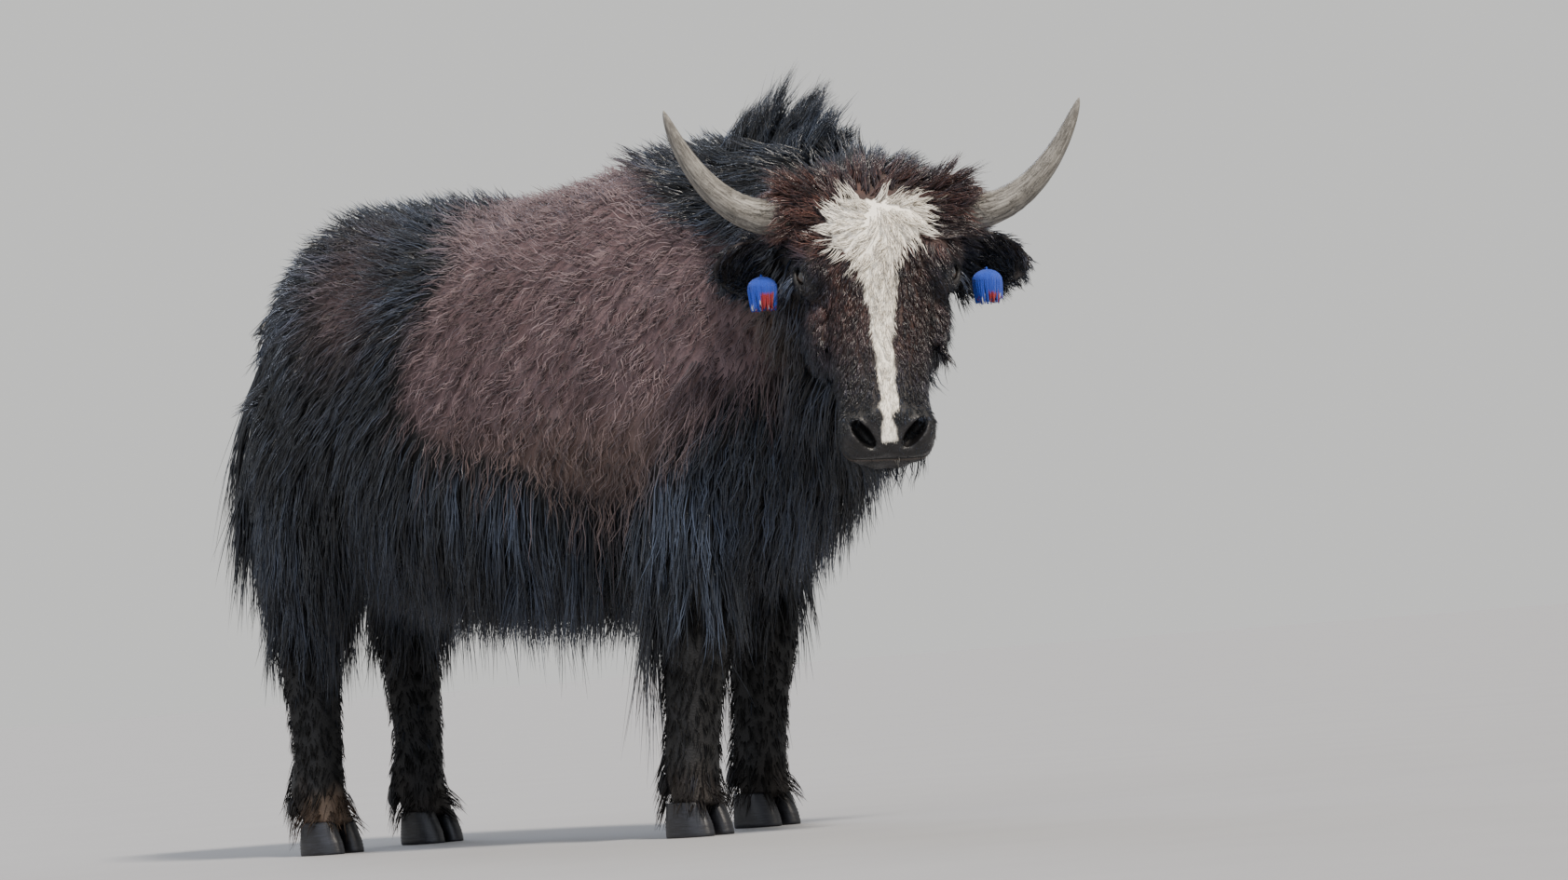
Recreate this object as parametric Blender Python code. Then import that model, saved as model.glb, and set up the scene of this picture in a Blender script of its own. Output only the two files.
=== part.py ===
"""A domestic yak, life size, standing still on four hooves with its head turned to its right.

Units are metres, +Z is up and the animal faces +X. The trunk's own frame has its origin on the floor
under the middle of the trunk, and everything is moved to the centre of its outline at the end.
The flesh is lofted from rings, fused and smoothed, then parted by thin cuts. The long coat is built of
flat, tapered locks that grow from the flesh, bend under their weight and stay outside the body.
"""

import math
import random

import bmesh
import bpy
from mathutils import Matrix, Vector
from mathutils.bvhtree import BVHTree

UP = Vector((0, 0, 1))
FORWARD = Vector((1, 0, 0))
LEFT = Vector((0, 1, 0))

SIDES = ((1, "left"), (-1, "right"))

# Colour and roughness of each kind of surface
LOOKS = {
    "wool": ((0.022, 0.019, 0.021), 0.55),
    "horn": ((0.330, 0.290, 0.230), 0.45),
    "hoof": ((0.050, 0.050, 0.055), 0.40),
    "eye": ((0.010, 0.008, 0.007), 0.08),
    "yarn": ((0.020, 0.120, 0.550), 0.80),
}
SHARP_FROM = math.radians(50)

# Growth of a copy that cuts its neighbour, so that the two keep a gap of about 0.3 mm
GROW = 0.0005
STEEPEST_GROWTH = 2.0
HALF_GAP = 0.00015

# Moves the finished animal so that its outline is centred over the origin
CENTRE = Vector((-0.103, 0.036, 0.0))

# Trunk rings: distance forward, top, bottom, half width, height of the widest line
TRUNK = (
    (-0.700, 0.951, 0.780, 0.050, 0.860),
    (-0.665, 1.001, 0.660, 0.125, 0.830),
    (-0.590, 1.058, 0.560, 0.195, 0.790),
    (-0.460, 1.081, 0.480, 0.240, 0.760),
    (-0.280, 1.076, 0.440, 0.262, 0.730),
    (-0.080, 1.066, 0.415, 0.282, 0.700),
    (0.100, 1.078, 0.410, 0.276, 0.700),
    (0.240, 1.106, 0.420, 0.252, 0.710),
    (0.360, 1.105, 0.440, 0.228, 0.710),
    (0.460, 1.098, 0.470, 0.205, 0.720),
    (0.550, 1.064, 0.510, 0.160, 0.730),
    (0.610, 1.004, 0.580, 0.095, 0.750),
)

# Neck rings along its bend: centre, half width, half height
NECK = (
    ((0.400, 0.000, 0.845), 0.185, 0.245),
    ((0.520, -0.015, 0.860), 0.160, 0.240),
    ((0.620, -0.050, 0.872), 0.138, 0.222),
    ((0.700, -0.092, 0.880), 0.122, 0.180),
    ((0.760, -0.130, 0.880), 0.105, 0.120),
)
NECK_CUT_AT = Vector((0.530, -0.010, 0.850))
NECK_CUT_FACES = Vector((0.880, -0.120, 0.460)).normalized()

# Leg rings: distance forward of the hoof, height, half depth fore and aft, half width
FORE_LEG = (
    (0.030, 0.760, 0.120, 0.060),
    (0.040, 0.640, 0.125, 0.085),
    (0.036, 0.520, 0.098, 0.082),
    (0.030, 0.430, 0.072, 0.066),
    (0.026, 0.350, 0.054, 0.053),
    (0.024, 0.290, 0.050, 0.050),
    (0.012, 0.230, 0.041, 0.041),
    (0.002, 0.160, 0.038, 0.038),
    (-0.008, 0.105, 0.045, 0.045),
    (-0.002, 0.070, 0.042, 0.044),
    (0.006, 0.050, 0.050, 0.048),
)
HIND_LEG = (
    (0.080, 0.800, 0.170, 0.070),
    (0.085, 0.680, 0.165, 0.098),
    (0.050, 0.560, 0.125, 0.090),
    (-0.010, 0.470, 0.080, 0.066),
    (-0.045, 0.400, 0.060, 0.048),
    (-0.052, 0.340, 0.050, 0.044),
    (-0.042, 0.250, 0.040, 0.038),
    (-0.030, 0.170, 0.038, 0.036),
    (-0.026, 0.110, 0.046, 0.044),
    (-0.010, 0.070, 0.042, 0.043),
    (0.004, 0.050, 0.050, 0.047),
)

# Where each hoof stands: distance forward and to the left
FEET = {
    "front_right": (0.325, -0.125),
    "front_left": (0.225, 0.125),
    "hind_right": (-0.580, -0.125),
    "hind_left": (-0.600, 0.120),
}
FORE_CUT = 0.415
HIND_CUT = 0.440
CUT_REACH = 0.120

# Hooves: two claws each, as rows of height, heel, toe and share of the width, and a pair of dewclaws
CLAW_WIDTH = 0.043
CLAW_GAP = 0.006
CLAW_ROWS = ((0.0, -0.046, 0.052, 1.0), (0.020, -0.045, 0.047, 0.99), (0.056, -0.040, 0.030, 0.86))
DEWCLAW_HEIGHT = 0.085
DEWCLAW_RADIUS = 0.012
DEWCLAW_STRETCH = 1.6
DEWCLAW_OUT = 0.021
DEWCLAW_BACK = {"front": -0.048, "hind": -0.066}
DEWCLAW_AXIS = Vector((-0.35, 0.0, -1.0)).normalized()

# Head: the poll's place, the way the face looks, and how far the nose hangs forward of plumb
POLL = Vector((0.833, -0.133, 1.015))
FACE_HEADING = math.radians(-40.0)
NOSE_FORWARD = math.radians(17.0)
HEAD_ROLL = math.radians(-2.5)

# Head rings: distance down the face from the poll, face line, throat line, half width, squareness
HEAD = (
    (-0.022, -0.045, -0.105, 0.056, 2.0),
    (0.005, -0.012, -0.150, 0.102, 2.2),
    (0.050, 0.004, -0.182, 0.124, 2.4),
    (0.100, 0.008, -0.202, 0.124, 2.4),
    (0.150, 0.004, -0.210, 0.117, 2.3),
    (0.200, -0.006, -0.204, 0.102, 2.3),
    (0.250, -0.013, -0.182, 0.085, 2.3),
    (0.300, -0.016, -0.155, 0.073, 2.4),
    (0.350, -0.015, -0.134, 0.068, 2.4),
    (0.385, -0.013, -0.122, 0.071, 2.4),
    (0.414, -0.015, -0.115, 0.076, 2.3),
    (0.437, -0.025, -0.108, 0.071, 2.2),
    (0.453, -0.041, -0.098, 0.052, 2.0),
)
EYE_AT = (0.160, 0.104, -0.050)
EYE_RADIUS = 0.0185
ORBIT_RADII = (0.032, 0.0255, 0.0255)
SLIT_RADII = (0.021, 0.0105, 0.020)
SLIT_OUT = 0.012
NOSTRIL_AT = (0.414, 0.046, -0.024)
NOSTRIL_RADII = (0.024, 0.010, 0.024)
MOUTH_FRONT = (0.446, -0.066)
MOUTH_CORNER = (0.350, -0.092)
MOUTH_SLOT = 0.0035
MOUTH_DEPTH = 0.007
MOUTH_OVERRUN = 0.06

# Horn: points along its curve as distance down the face, out to the side and forward of the face
HORN = (
    (0.039, 0.084, -0.051),
    (0.114, 0.214, -0.035),
    (-0.013, 0.295, 0.008),
    (-0.084, 0.321, 0.055),
)
HORN_RADIUS = 0.031
HORN_TIP_RADIUS = 0.003
HORN_WRINKLE = 0.0008
HORN_RINGS = 14

# Ear: root, length, half width and the droop of its axis
EAR_AT = (0.112, 0.104, -0.100)
EAR_LENGTH = 0.158
EAR_HALF_WIDTH = 0.042
EAR_THICKNESS = 0.006
EAR_ROWS = 8
EAR_POINTS = 6

# Ear tassel: its place along, across and in front of the ear, and rows of height and share of the
# radius from the knot down to the thread ends
TASSEL_AT = (0.074, 0.016, 0.024)
TASSEL_RADIUS = 0.022
TASSEL_ROWS = ((0.004, 0.25), (0.000, 0.55), (-0.010, 0.92), (-0.024, 1.05), (-0.038, 0.95), (-0.046, 0.80))
TASSEL_FLUTE = 0.90
TASSEL_RAGGED = 0.008

# Tail: points along its core, and the radius at each
TAIL = (
    (-0.650, 0.000, 0.955),
    (-0.720, -0.008, 0.930),
    (-0.755, -0.030, 0.830),
    (-0.765, -0.055, 0.690),
    (-0.760, -0.075, 0.550),
)
TAIL_RADII = (0.038, 0.036, 0.030, 0.024, 0.014)
FLOOR_CLEARANCE = 0.030

# Locks of the coat: how deep a root is sunk, and how many stations follow it
LOCK_SINK = 0.020
LOCK_STATIONS = 4

# Rows along each flank: angle above level, locks, first and last place, length, width, thickness and
# bluntness of the tip, from the long skirt below to the woolly clumps of the back
FLANK_MIDDLE = 0.740
FLANK_ROWS = (
    (-46, 12, -0.46, 0.46, 0.250, 0.095, 0.026, 2.2),
    (-20, 9, -0.58, 0.52, 0.240, 0.130, 0.030, 2.4),
    (8, 8, -0.58, 0.50, 0.200, 0.160, 0.034, 3.0),
    (34, 7, -0.56, 0.44, 0.180, 0.180, 0.038, 3.6),
    (60, 6, -0.53, 0.38, 0.180, 0.185, 0.038, 4.0),
    (84, 5, -0.50, 0.33, 0.180, 0.175, 0.036, 4.0),
)
ELBOW_EXTRA = 0.35
SWAY = 0.20
LIE_SPREAD = 0.22

# Rows over the rump and the chest: middle, headings, heights, length, width, thickness
END_ROWS = (
    ((-0.48, 0.0, 0.74), (130, 162, 198, 230), (-30, 6, 36), 0.190, 0.095, 0.034),
    ((0.44, 0.0, 0.70), (-52, -18, 18, 52), (-30, -6), 0.190, 0.085, 0.028),
)

# Mane on both sides of the neck: distance of each column behind or ahead of the middle, angles above
# level, length, width and thickness
MANE_MIDDLE = Vector((0.565, -0.035, 0.865))
MANE_COLUMNS = (0.0, 0.065, 0.120)
MANE_ANGLES = (-48, -10, 30, 150, 190, 228)
MANE_LOCK = (0.180, 0.095, 0.032)

# Erect crest on top of the neck: locks, first place and run, height, width and thickness
CREST_LOCKS = 12
CREST_FIRST = Vector((0.440, -0.008, 0.950))
CREST_RUN = Vector((0.260, -0.070, 0.0))
CREST_SPREAD = 0.040
CREST_HEIGHT = 0.125
CREST_LOCK = (0.046, 0.022)

# Pairs of locks on the head, in its own directions: place, aim of the search, lie, length, width,
# thickness and lift
HEAD_LOCKS = (
    (0.010, 0.016, -0.06, (0.00, 0.0, 1.0), (1.0, 0.35, 0.0), 0.085, 0.050, 0.022, 0.40),
    (0.040, 0.050, -0.06, (0.00, 0.0, 1.0), (1.0, 0.60, 0.0), 0.085, 0.050, 0.022, 0.35),
    (0.075, 0.086, -0.06, (0.00, 0.0, 1.0), (0.9, 0.80, 0.0), 0.075, 0.046, 0.020, 0.30),
    (0.030, 0.018, -0.07, (-1.0, 0.0, 0.5), (-1.0, 0.30, 0.3), 0.062, 0.056, 0.026, 0.60),
    (0.030, 0.052, -0.07, (-1.0, 0.5, 0.3), (-1.0, 0.80, 0.2), 0.062, 0.056, 0.026, 0.55),
    (0.215, 0.000, -0.12, (0.0, 1.0, 0.0), (1.0, 0.25, -0.5), 0.095, 0.056, 0.022, 0.25),
    (0.175, 0.000, -0.15, (0.0, 0.9, -0.5), (1.0, 0.20, -0.6), 0.100, 0.056, 0.022, 0.25),
    (0.280, 0.000, -0.12, (0.0, 0.7, -0.7), (1.0, 0.15, -0.6), 0.090, 0.050, 0.020, 0.25),
    (0.400, 0.022, -0.08, (0.2, 0.0, -1.0), (1.0, 0.15, -0.5), 0.085, 0.030, 0.015, 0.30),
    (0.375, 0.050, -0.08, (0.1, 0.3, -1.0), (1.0, 0.25, -0.5), 0.070, 0.030, 0.015, 0.30),
)

# Rows down the tail: height, headings round it, length and width
TAIL_ROWS = (
    (0.860, (120, 180, 240), 0.260, 0.060),
    (0.740, (60, 150, 210, 300), 0.280, 0.060),
    (0.620, (0, 90, 180, 270), 0.250, 0.055),
)
TAIL_LOCK_THICKNESS = 0.024
TAIL_LIFT = 0.10

# Fringe of an ear: share of its length, share of its half width, length
EAR_LOCKS = ((0.30, 0.78, 0.050), (0.78, 0.50, 0.055), (0.94, 0.15, 0.050), (0.70, -0.72, 0.030))
EAR_LOCK = (0.030, 0.012)

# Rows down a leg: height and headings round it; then the length, width and thickness of a lock
LEG_ROWS = ((0.345, (75, 150, 210, 285)), (0.225, (180,)))
LEG_LOCK = (0.125, 0.046, 0.020)


def main():
    clear_scene()
    nodes = {}
    for name, foot in FEET.items():
        nodes.update(claws(name, foot))
        nodes.update(dewclaws(name, foot))
    for side, word in SIDES:
        nodes["eye_" + word] = eyeball(side, "eye_" + word)
        nodes["horn_" + word] = horn_solid(side, "horn_" + word)
        nodes["tassel_" + word] = tassel(side, "tassel_" + word)
        nodes["ear_" + word] = ear(side, "ear_" + word)
    nodes["head"] = head()
    nodes["tail"] = tail()
    nodes.update(flesh_nodes())
    grow_coat(nodes)
    clear_neighbours(nodes)
    stand = bpy.data.objects.new("yak", None)
    bpy.context.scene.collection.objects.link(stand)
    stand.location = CENTRE
    for obj in nodes.values():
        obj.parent = stand
        obj.data.shade_smooth()
        obj.data.set_sharp_from_angle(angle=SHARP_FROM)


def clear_scene():
    for obj in list(bpy.data.objects):
        bpy.data.objects.remove(obj)


def material(name, look):
    colour, roughness = LOOKS[look]
    made = bpy.data.materials.new(name + "_" + look)
    made.use_nodes = True
    shader = made.node_tree.nodes["Principled BSDF"]
    shader.inputs["Base Color"].default_value = (*colour, 1.0)
    shader.inputs["Roughness"].default_value = roughness
    shader.inputs["Metallic"].default_value = 0.0
    return made


def new_object(name, bm, look=None):
    """Makes an object of a bmesh, in triangles that face out, with a material of its own."""
    bmesh.ops.triangulate(bm, faces=bm.faces[:])
    bmesh.ops.recalc_face_normals(bm, faces=bm.faces[:])
    mesh = bpy.data.meshes.new(name)
    bm.to_mesh(mesh)
    bm.free()
    obj = bpy.data.objects.new(name, mesh)
    bpy.context.scene.collection.objects.link(obj)
    if look is not None:
        mesh.materials.append(material(name, look))
    return obj


def rounded(value, power):
    """A coordinate of a rounded square: power 2 is an ellipse, and more is squarer."""
    return math.copysign(abs(value) ** (2.0 / power), value)


def add_ring(bm, centre, side, up, half_width, above, below, power=2.0, count=16):
    """Adds one closed ring of points in the plane of side and up, and returns its edges."""
    verts = bmesh.ops.create_circle(bm, segments=count, radius=1.0)["verts"]
    edges = list({edge for vert in verts for edge in vert.link_edges})
    for vert in verts:
        across, height = rounded(vert.co.x, power), rounded(vert.co.y, power)
        reach = above if height > 0 else below
        vert.co = centre + side * (across * half_width) + up * (height * reach)
    return edges


def loft(bm, rings):
    """Joins rings of edges into one closed tube."""
    for near, far in zip(rings, rings[1:]):
        bmesh.ops.bridge_loops(bm, edges=near + far)
    for end in (rings[0], rings[-1]):
        bmesh.ops.edgeloop_fill(bm, edges=end)


def tube(bm, places, radii, count):
    """Adds a closed tube through places, each ring square to the path."""
    rings = []
    for number, (place, radius) in enumerate(zip(places, radii)):
        before = places[max(number - 1, 0)]
        after = places[min(number + 1, len(places) - 1)]
        along = (after - before).normalized()
        side = along.cross(LEFT if abs(along.y) < 0.7 else UP).normalized()
        up = along.cross(side)
        rings.append(add_ring(bm, place, side, up, radius, radius, radius, 2.0, count))
    loft(bm, rings)


def applied(obj):
    """Gives an object the mesh that its modifiers make, and drops them."""
    bpy.context.view_layer.update()
    graph = bpy.context.evaluated_depsgraph_get()
    mesh = bpy.data.meshes.new_from_object(obj.evaluated_get(graph))
    obj.modifiers.clear()
    obj.data = mesh
    return obj


def boolean(target, others, operation):
    """One Boolean of target with all the others, which are then removed."""
    group = bpy.data.collections.new("operands")
    bpy.context.scene.collection.children.link(group)
    for other in others:
        for home in list(other.users_collection):
            home.objects.unlink(other)
        group.objects.link(other)
    step = target.modifiers.new("boolean", "BOOLEAN")
    step.operation = operation
    step.solver = "MANIFOLD"
    step.operand_type = "COLLECTION"
    step.collection = group
    applied(target)
    for other in others:
        bpy.data.objects.remove(other)
    bpy.data.collections.remove(group)
    keep_largest(target)


def keep_largest(obj):
    """Keeps only the largest closed surface of a mesh."""
    bm = bmesh.new()
    bm.from_mesh(obj.data)
    left = set(bm.faces)
    shells = []
    while left:
        shell, edge_of_shell = set(), [left.pop()]
        while edge_of_shell:
            face = edge_of_shell.pop()
            shell.add(face)
            for edge in face.edges:
                for other in edge.link_faces:
                    if other in left:
                        left.discard(other)
                        edge_of_shell.append(other)
        shells.append(shell)
    largest = max(shells, key=lambda shell: sum(face.calc_area() for face in shell))
    scraps = [face for shell in shells if shell is not largest for face in shell]
    bmesh.ops.delete(bm, geom=scraps, context="FACES")
    bmesh.ops.triangulate(bm, faces=bm.faces[:])
    bm.to_mesh(obj.data)
    bm.free()


def grown_copy(obj, by=GROW):
    """A copy of a solid with its surface moved out."""
    bm = bmesh.new()
    bm.from_mesh(obj.data)
    bm.normal_update()
    for vert, step in [(v, v.normal * min(v.calc_shell_factor(), STEEPEST_GROWTH)) for v in bm.verts]:
        vert.co += step * by
    mesh = bpy.data.meshes.new(obj.name + "_grown")
    bm.to_mesh(mesh)
    bm.free()
    made = bpy.data.objects.new(mesh.name, mesh)
    bpy.context.scene.collection.objects.link(made)
    return made


def clear_neighbours(nodes):
    """Cuts each node back by the gap wherever an earlier one lies in it."""
    order = list(nodes.values())
    for number, target in enumerate(order):
        near = [other for other in order[:number] if boxes_meet(target, other)]
        if near:
            boolean(target, [grown_copy(other, by) for other in near for by in (0.0, GROW)], "DIFFERENCE")


def boxes_meet(one, other):
    """Whether the upright boxes round two objects come within the gap of each other."""
    boxes = []
    for obj in (one, other):
        columns = list(zip(*(vert.co for vert in obj.data.vertices)))
        boxes.append([(min(column) - GROW, max(column) + GROW) for column in columns])
    return all(a[0] < b[1] and b[0] < a[1] for a, b in zip(*boxes))


def box(low, high):
    bm = bmesh.new()
    size = Vector(high) - Vector(low)
    middle = (Vector(high) + Vector(low)) / 2
    bmesh.ops.create_cube(bm, size=1.0, matrix=Matrix.Translation(middle) @ Matrix.Diagonal((*size, 1.0)))
    return new_object("box", bm)


def trunk():
    bm = bmesh.new()
    rings = []
    for forward, top, bottom, half_width, widest in TRUNK:
        centre = Vector((forward, 0.0, widest))
        rings.append(add_ring(bm, centre, LEFT, UP, half_width, top - widest, widest - bottom, 2.3, 20))
    loft(bm, rings)
    return new_object("trunk", bm)


def neck():
    bm = bmesh.new()
    rings = []
    for number, (place, half_width, half_height) in enumerate(NECK):
        before = Vector(NECK[max(number - 1, 0)][0])
        after = Vector(NECK[min(number + 1, len(NECK) - 1)][0])
        along = (after - before).normalized()
        side = UP.cross(along).normalized()
        up = along.cross(side)
        rings.append(add_ring(bm, Vector(place), side, up, half_width, half_height, half_height, 2.2, 16))
    loft(bm, rings)
    return new_object("neck_flesh", bm)


def leg_ring(bm, foot, ring):
    forward, height, half_depth, half_width = ring
    centre = Vector((foot[0] + forward, foot[1], height))
    return add_ring(bm, centre, LEFT, FORWARD, half_width, half_depth, half_depth, 2.1, 10)


def leg(name, foot, shape, top=None, look=None):
    """A leg from its hoof up, cut level at a given top."""
    bm = bmesh.new()
    rows = list(shape)
    if top is not None:
        above = min((row for row in shape if row[1] > top), key=lambda row: row[1])
        below = max((row for row in shape if row[1] <= top), key=lambda row: row[1])
        share = (top - below[1]) / (above[1] - below[1])
        level = tuple(b + (a - b) * share for a, b in zip(above, below))
        rows = [level] + [row for row in shape if row[1] <= top]
    loft(bm, [leg_ring(bm, foot, row) for row in rows])
    return new_object(name, bm, look)


def leg_plan(name):
    return (FORE_LEG, FORE_CUT) if name.startswith("front") else (HIND_LEG, HIND_CUT)


def flesh_nodes():
    """Trunk, neck and upper legs fused and smoothed, then parted into torso, neck and legs."""
    body = trunk()
    boolean(body, [neck()] + [leg(name, foot, leg_plan(name)[0]) for name, foot in FEET.items()], "UNION")
    remesh = body.modifiers.new("remesh", "REMESH")
    remesh.mode = "VOXEL"
    remesh.voxel_size = 0.018
    smooth = body.modifiers.new("smooth", "SMOOTH")
    smooth.factor = 0.5
    smooth.iterations = 10
    fewer = body.modifiers.new("decimate", "DECIMATE")
    fewer.ratio = 0.038
    applied(body)
    cutters = []
    for name, foot in FEET.items():
        cut = leg_plan(name)[1]
        low = (foot[0] - CUT_REACH, foot[1] - CUT_REACH, -CUT_REACH)
        high = (foot[0] + CUT_REACH, foot[1] + CUT_REACH, cut)
        cutters.append(box(low, high))
    boolean(body, cutters, "DIFFERENCE")
    nodes = {}
    for name, foot in FEET.items():
        shape, cut = leg_plan(name)
        nodes["leg_" + name] = leg("leg_" + name, foot, shape, cut - 2 * HALF_GAP, "wool")
    for name, sign in (("neck", 1), ("torso", -1)):
        part = body.copy()
        part.data = body.data.copy()
        part.data.materials.clear()
        part.data.materials.append(material(name, "wool"))
        part.name = name
        bpy.context.scene.collection.objects.link(part)
        bm = bmesh.new()
        bm.from_mesh(part.data)
        faces = NECK_CUT_FACES * sign
        cut = bmesh.ops.bisect_plane(
            bm,
            geom=bm.verts[:] + bm.edges[:] + bm.faces[:],
            plane_co=NECK_CUT_AT + faces * HALF_GAP,
            plane_no=faces,
            clear_inner=True,
        )
        rim = [item for item in cut["geom_cut"] if isinstance(item, bmesh.types.BMEdge)]
        bmesh.ops.edgeloop_fill(bm, edges=rim)
        bmesh.ops.recalc_face_normals(bm, faces=bm.faces[:])
        bm.to_mesh(part.data)
        bm.free()
        nodes[name] = part
    bpy.data.objects.remove(body)
    return nodes


def grow_coat(nodes):
    """Grows the locks of each node over the whole animal, and joins them to their node."""
    dice = random.Random(11)
    skin = tree_of(nodes.values())
    coats = {
        "torso": torso_locks(nodes["torso"], skin, dice),
        "neck": neck_locks(nodes["neck"], skin, dice),
        "head": head_locks(nodes["head"], skin, dice),
        "tail": tail_locks(nodes["tail"], skin, dice),
    }
    for side, word in SIDES:
        coats["ear_" + word] = ear_locks(nodes["ear_" + word], side, dice)
    for name, foot in FEET.items():
        coats["leg_" + name] = leg_locks(nodes["leg_" + name], name, foot, skin, dice)
    for name, locks in coats.items():
        boolean(nodes[name], locks, "UNION")


def tree_of(objects):
    """One search tree over the faces of all the objects."""
    verts, faces = [], []
    for obj in objects:
        start = len(verts)
        verts.extend(vert.co.copy() for vert in obj.data.vertices)
        faces.extend([start + v for v in face.vertices] for face in obj.data.polygons)
    return BVHTree.FromPolygons(verts, faces)


def root_on(tree, middle, direction):
    """The outermost point of a surface in a direction from its middle, with its normal."""
    start = middle + direction.normalized() * 1.5
    place, normal, _, _ = tree.ray_cast(start, -direction.normalized(), 1.5)
    return place, normal


def grow_path(skin, root, outward, lie, length, lift, droop, clearance, sway=0.0, stations=LOCK_STATIONS):
    """Stations along a lock: it leaves the skin with some lift, droops, and stays clear of the body."""
    lie = (lie - outward * lie.dot(outward)).normalized()
    across = lie.cross(outward)
    heading = (lie + outward * lift).normalized()
    places = [root - outward * LOCK_SINK - heading * LOCK_SINK * 0.5]
    place = root.copy()
    for step in range(1, stations + 1):
        heading = (heading - UP * droop + across * (sway * math.cos(2.2 * step))).normalized()
        place = place + heading * (length / stations)
        spot, normal, _, _ = skin.find_nearest(place)
        need = clearance * min(1.0, step / 2.0)
        height = (place - spot).dot(normal)
        if height < need:
            place = place + normal * (need - height)
        if place.z < FLOOR_CLEARANCE:
            place.z = FLOOR_CLEARANCE
        places.append(place.copy())
    return places


def lock(places, outward, width, thickness, blunt=2.2):
    """A flat lock with a ridge along its back, widest a third of the way down and ending in a tip."""
    bm = bmesh.new()
    rings = []
    last = len(places) - 1
    for number, place in enumerate(places[:-1]):
        along = (places[number + 1] - places[max(number - 1, 0)]).normalized()
        outward = (outward - along * outward.dot(along)).normalized()
        side = along.cross(outward)
        share = number / last
        swell = 0.80 + 0.20 * math.sin(min(1.0, share * 3.0) * math.pi / 2)
        taper = swell * (1.0 - share**blunt)
        ridge = place + outward * (thickness * 0.6 * taper)
        under = place - outward * (thickness * 0.4 * taper)
        corners = (under + side * (width / 2 * taper), ridge, under - side * (width / 2 * taper))
        rings.append([bm.verts.new(corner) for corner in corners])
    tip = bm.verts.new(places[-1])
    for near, far in zip(rings, rings[1:]):
        for one in range(3):
            two = (one + 1) % 3
            bm.faces.new((near[one], near[two], far[two], far[one]))
    for one in range(3):
        bm.faces.new((rings[-1][one], rings[-1][(one + 1) % 3], tip))
    bm.faces.new(rings[0])
    return new_object("lock", bm)


def coat_lie(place, dice):
    """The way that the coat lies on the body: back along the spine, and down the flanks and the rump."""
    back = -0.60 * min(1.0, max(0.15, (place.x + 0.62) / 0.30))
    return Vector((back + dice.uniform(-LIE_SPREAD, LIE_SPREAD), 0.0, -1.0))


def torso_locks(torso, skin, dice):
    own = tree_of([torso])
    locks = []
    for side, _ in SIDES:
        for number, row in enumerate(FLANK_ROWS):
            angle, count, first, last, length, width, thickness, blunt = row
            for spot in range(count):
                share = (spot + 0.5 * (number % 2) + dice.uniform(-0.2, 0.2)) / (count - 0.5)
                forward = first + (last - first) * share
                tilt = math.radians(angle + dice.uniform(-5, 5))
                away = Vector((0.0, side * math.cos(tilt), math.sin(tilt)))
                root, normal = root_on(own, Vector((forward, 0.0, FLANK_MIDDLE)), away)
                reach = length * dice.uniform(0.88, 1.12)
                if angle < 0:
                    reach *= 1.0 + ELBOW_EXTRA * max(0.0, 1.0 - abs(forward - 0.36) / 0.16)
                on_rump = max(0.0, min(1.0, (-0.36 - root.x) / 0.18))
                reach *= 1.0 - 0.35 * on_rump * max(0.0, normal.z)
                lift = 0.26 - 0.08 * max(0.0, normal.z)
                sway = dice.uniform(-SWAY, SWAY)
                steps = LOCK_STATIONS if angle < 0 else LOCK_STATIONS - 1
                lie = coat_lie(root, dice)
                path = grow_path(skin, root, normal, lie, reach, lift, 0.15, thickness * 0.4, sway, steps)
                locks.append(lock(path, normal, width * dice.uniform(0.85, 1.15), thickness, blunt))
    for middle, headings, lifts, length, width, thickness in END_ROWS:
        for heading in headings:
            for lift in lifts:
                turn = math.radians(heading + dice.uniform(-6, 6))
                tilt = math.radians(lift)
                away = Vector((math.cos(turn), math.sin(turn), math.tan(tilt)))
                root, normal = root_on(own, Vector(middle), away)
                sway = dice.uniform(-SWAY, SWAY)
                lie = Vector((-0.1, 0.0, -1.0))
                path = grow_path(skin, root, normal, lie, length, 0.28, 0.18, thickness * 0.5, sway)
                locks.append(lock(path, normal, width, thickness))
    return locks


def neck_locks(neck, skin, dice):
    """The mane on both sides of the neck, and the erect crest along its top."""
    own = tree_of([neck])
    locks = []
    length, width, thickness = MANE_LOCK
    along = Vector((0.85, -0.53, 0.0))
    across = Vector((0.42, 0.90, 0.0))
    for forward in MANE_COLUMNS:
        for angle in MANE_ANGLES:
            tilt = math.radians(angle + dice.uniform(-6, 6))
            away = across * math.cos(tilt) + UP * math.sin(tilt)
            root, normal = root_on(own, MANE_MIDDLE + along * forward, away)
            if root is None:
                continue
            reach = length * dice.uniform(0.85, 1.15)
            lie = Vector((-0.5, 0.0, -1.0))
            path = grow_path(skin, root, normal, lie, reach, 0.30, 0.14, thickness * 0.45)
            locks.append(lock(path, normal, width, thickness))
    for number in range(CREST_LOCKS):
        share = (number + dice.uniform(0.0, 0.6)) / CREST_LOCKS
        aside = LEFT * dice.uniform(-CREST_SPREAD, CREST_SPREAD)
        root, normal = root_on(own, CREST_FIRST + CREST_RUN * share + aside, UP)
        if root is None:
            continue
        lean = Vector((0.10 + 0.25 * share, dice.uniform(-0.05, 0.35), 1.0)).normalized()
        bend = Vector((0.30, 0.30, 0.0))
        length = CREST_HEIGHT * (1.0 - 0.45 * abs(share - 0.45) * 2) * dice.uniform(0.8, 1.1)
        places = [root - UP * LOCK_SINK]
        for step in range(1, LOCK_STATIONS + 1):
            part = step / LOCK_STATIONS
            places.append(root + lean * (length * part) + bend * (length * part**2.5))
        locks.append(lock(places, FORWARD - LEFT, *CREST_LOCK))
    return locks


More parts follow.
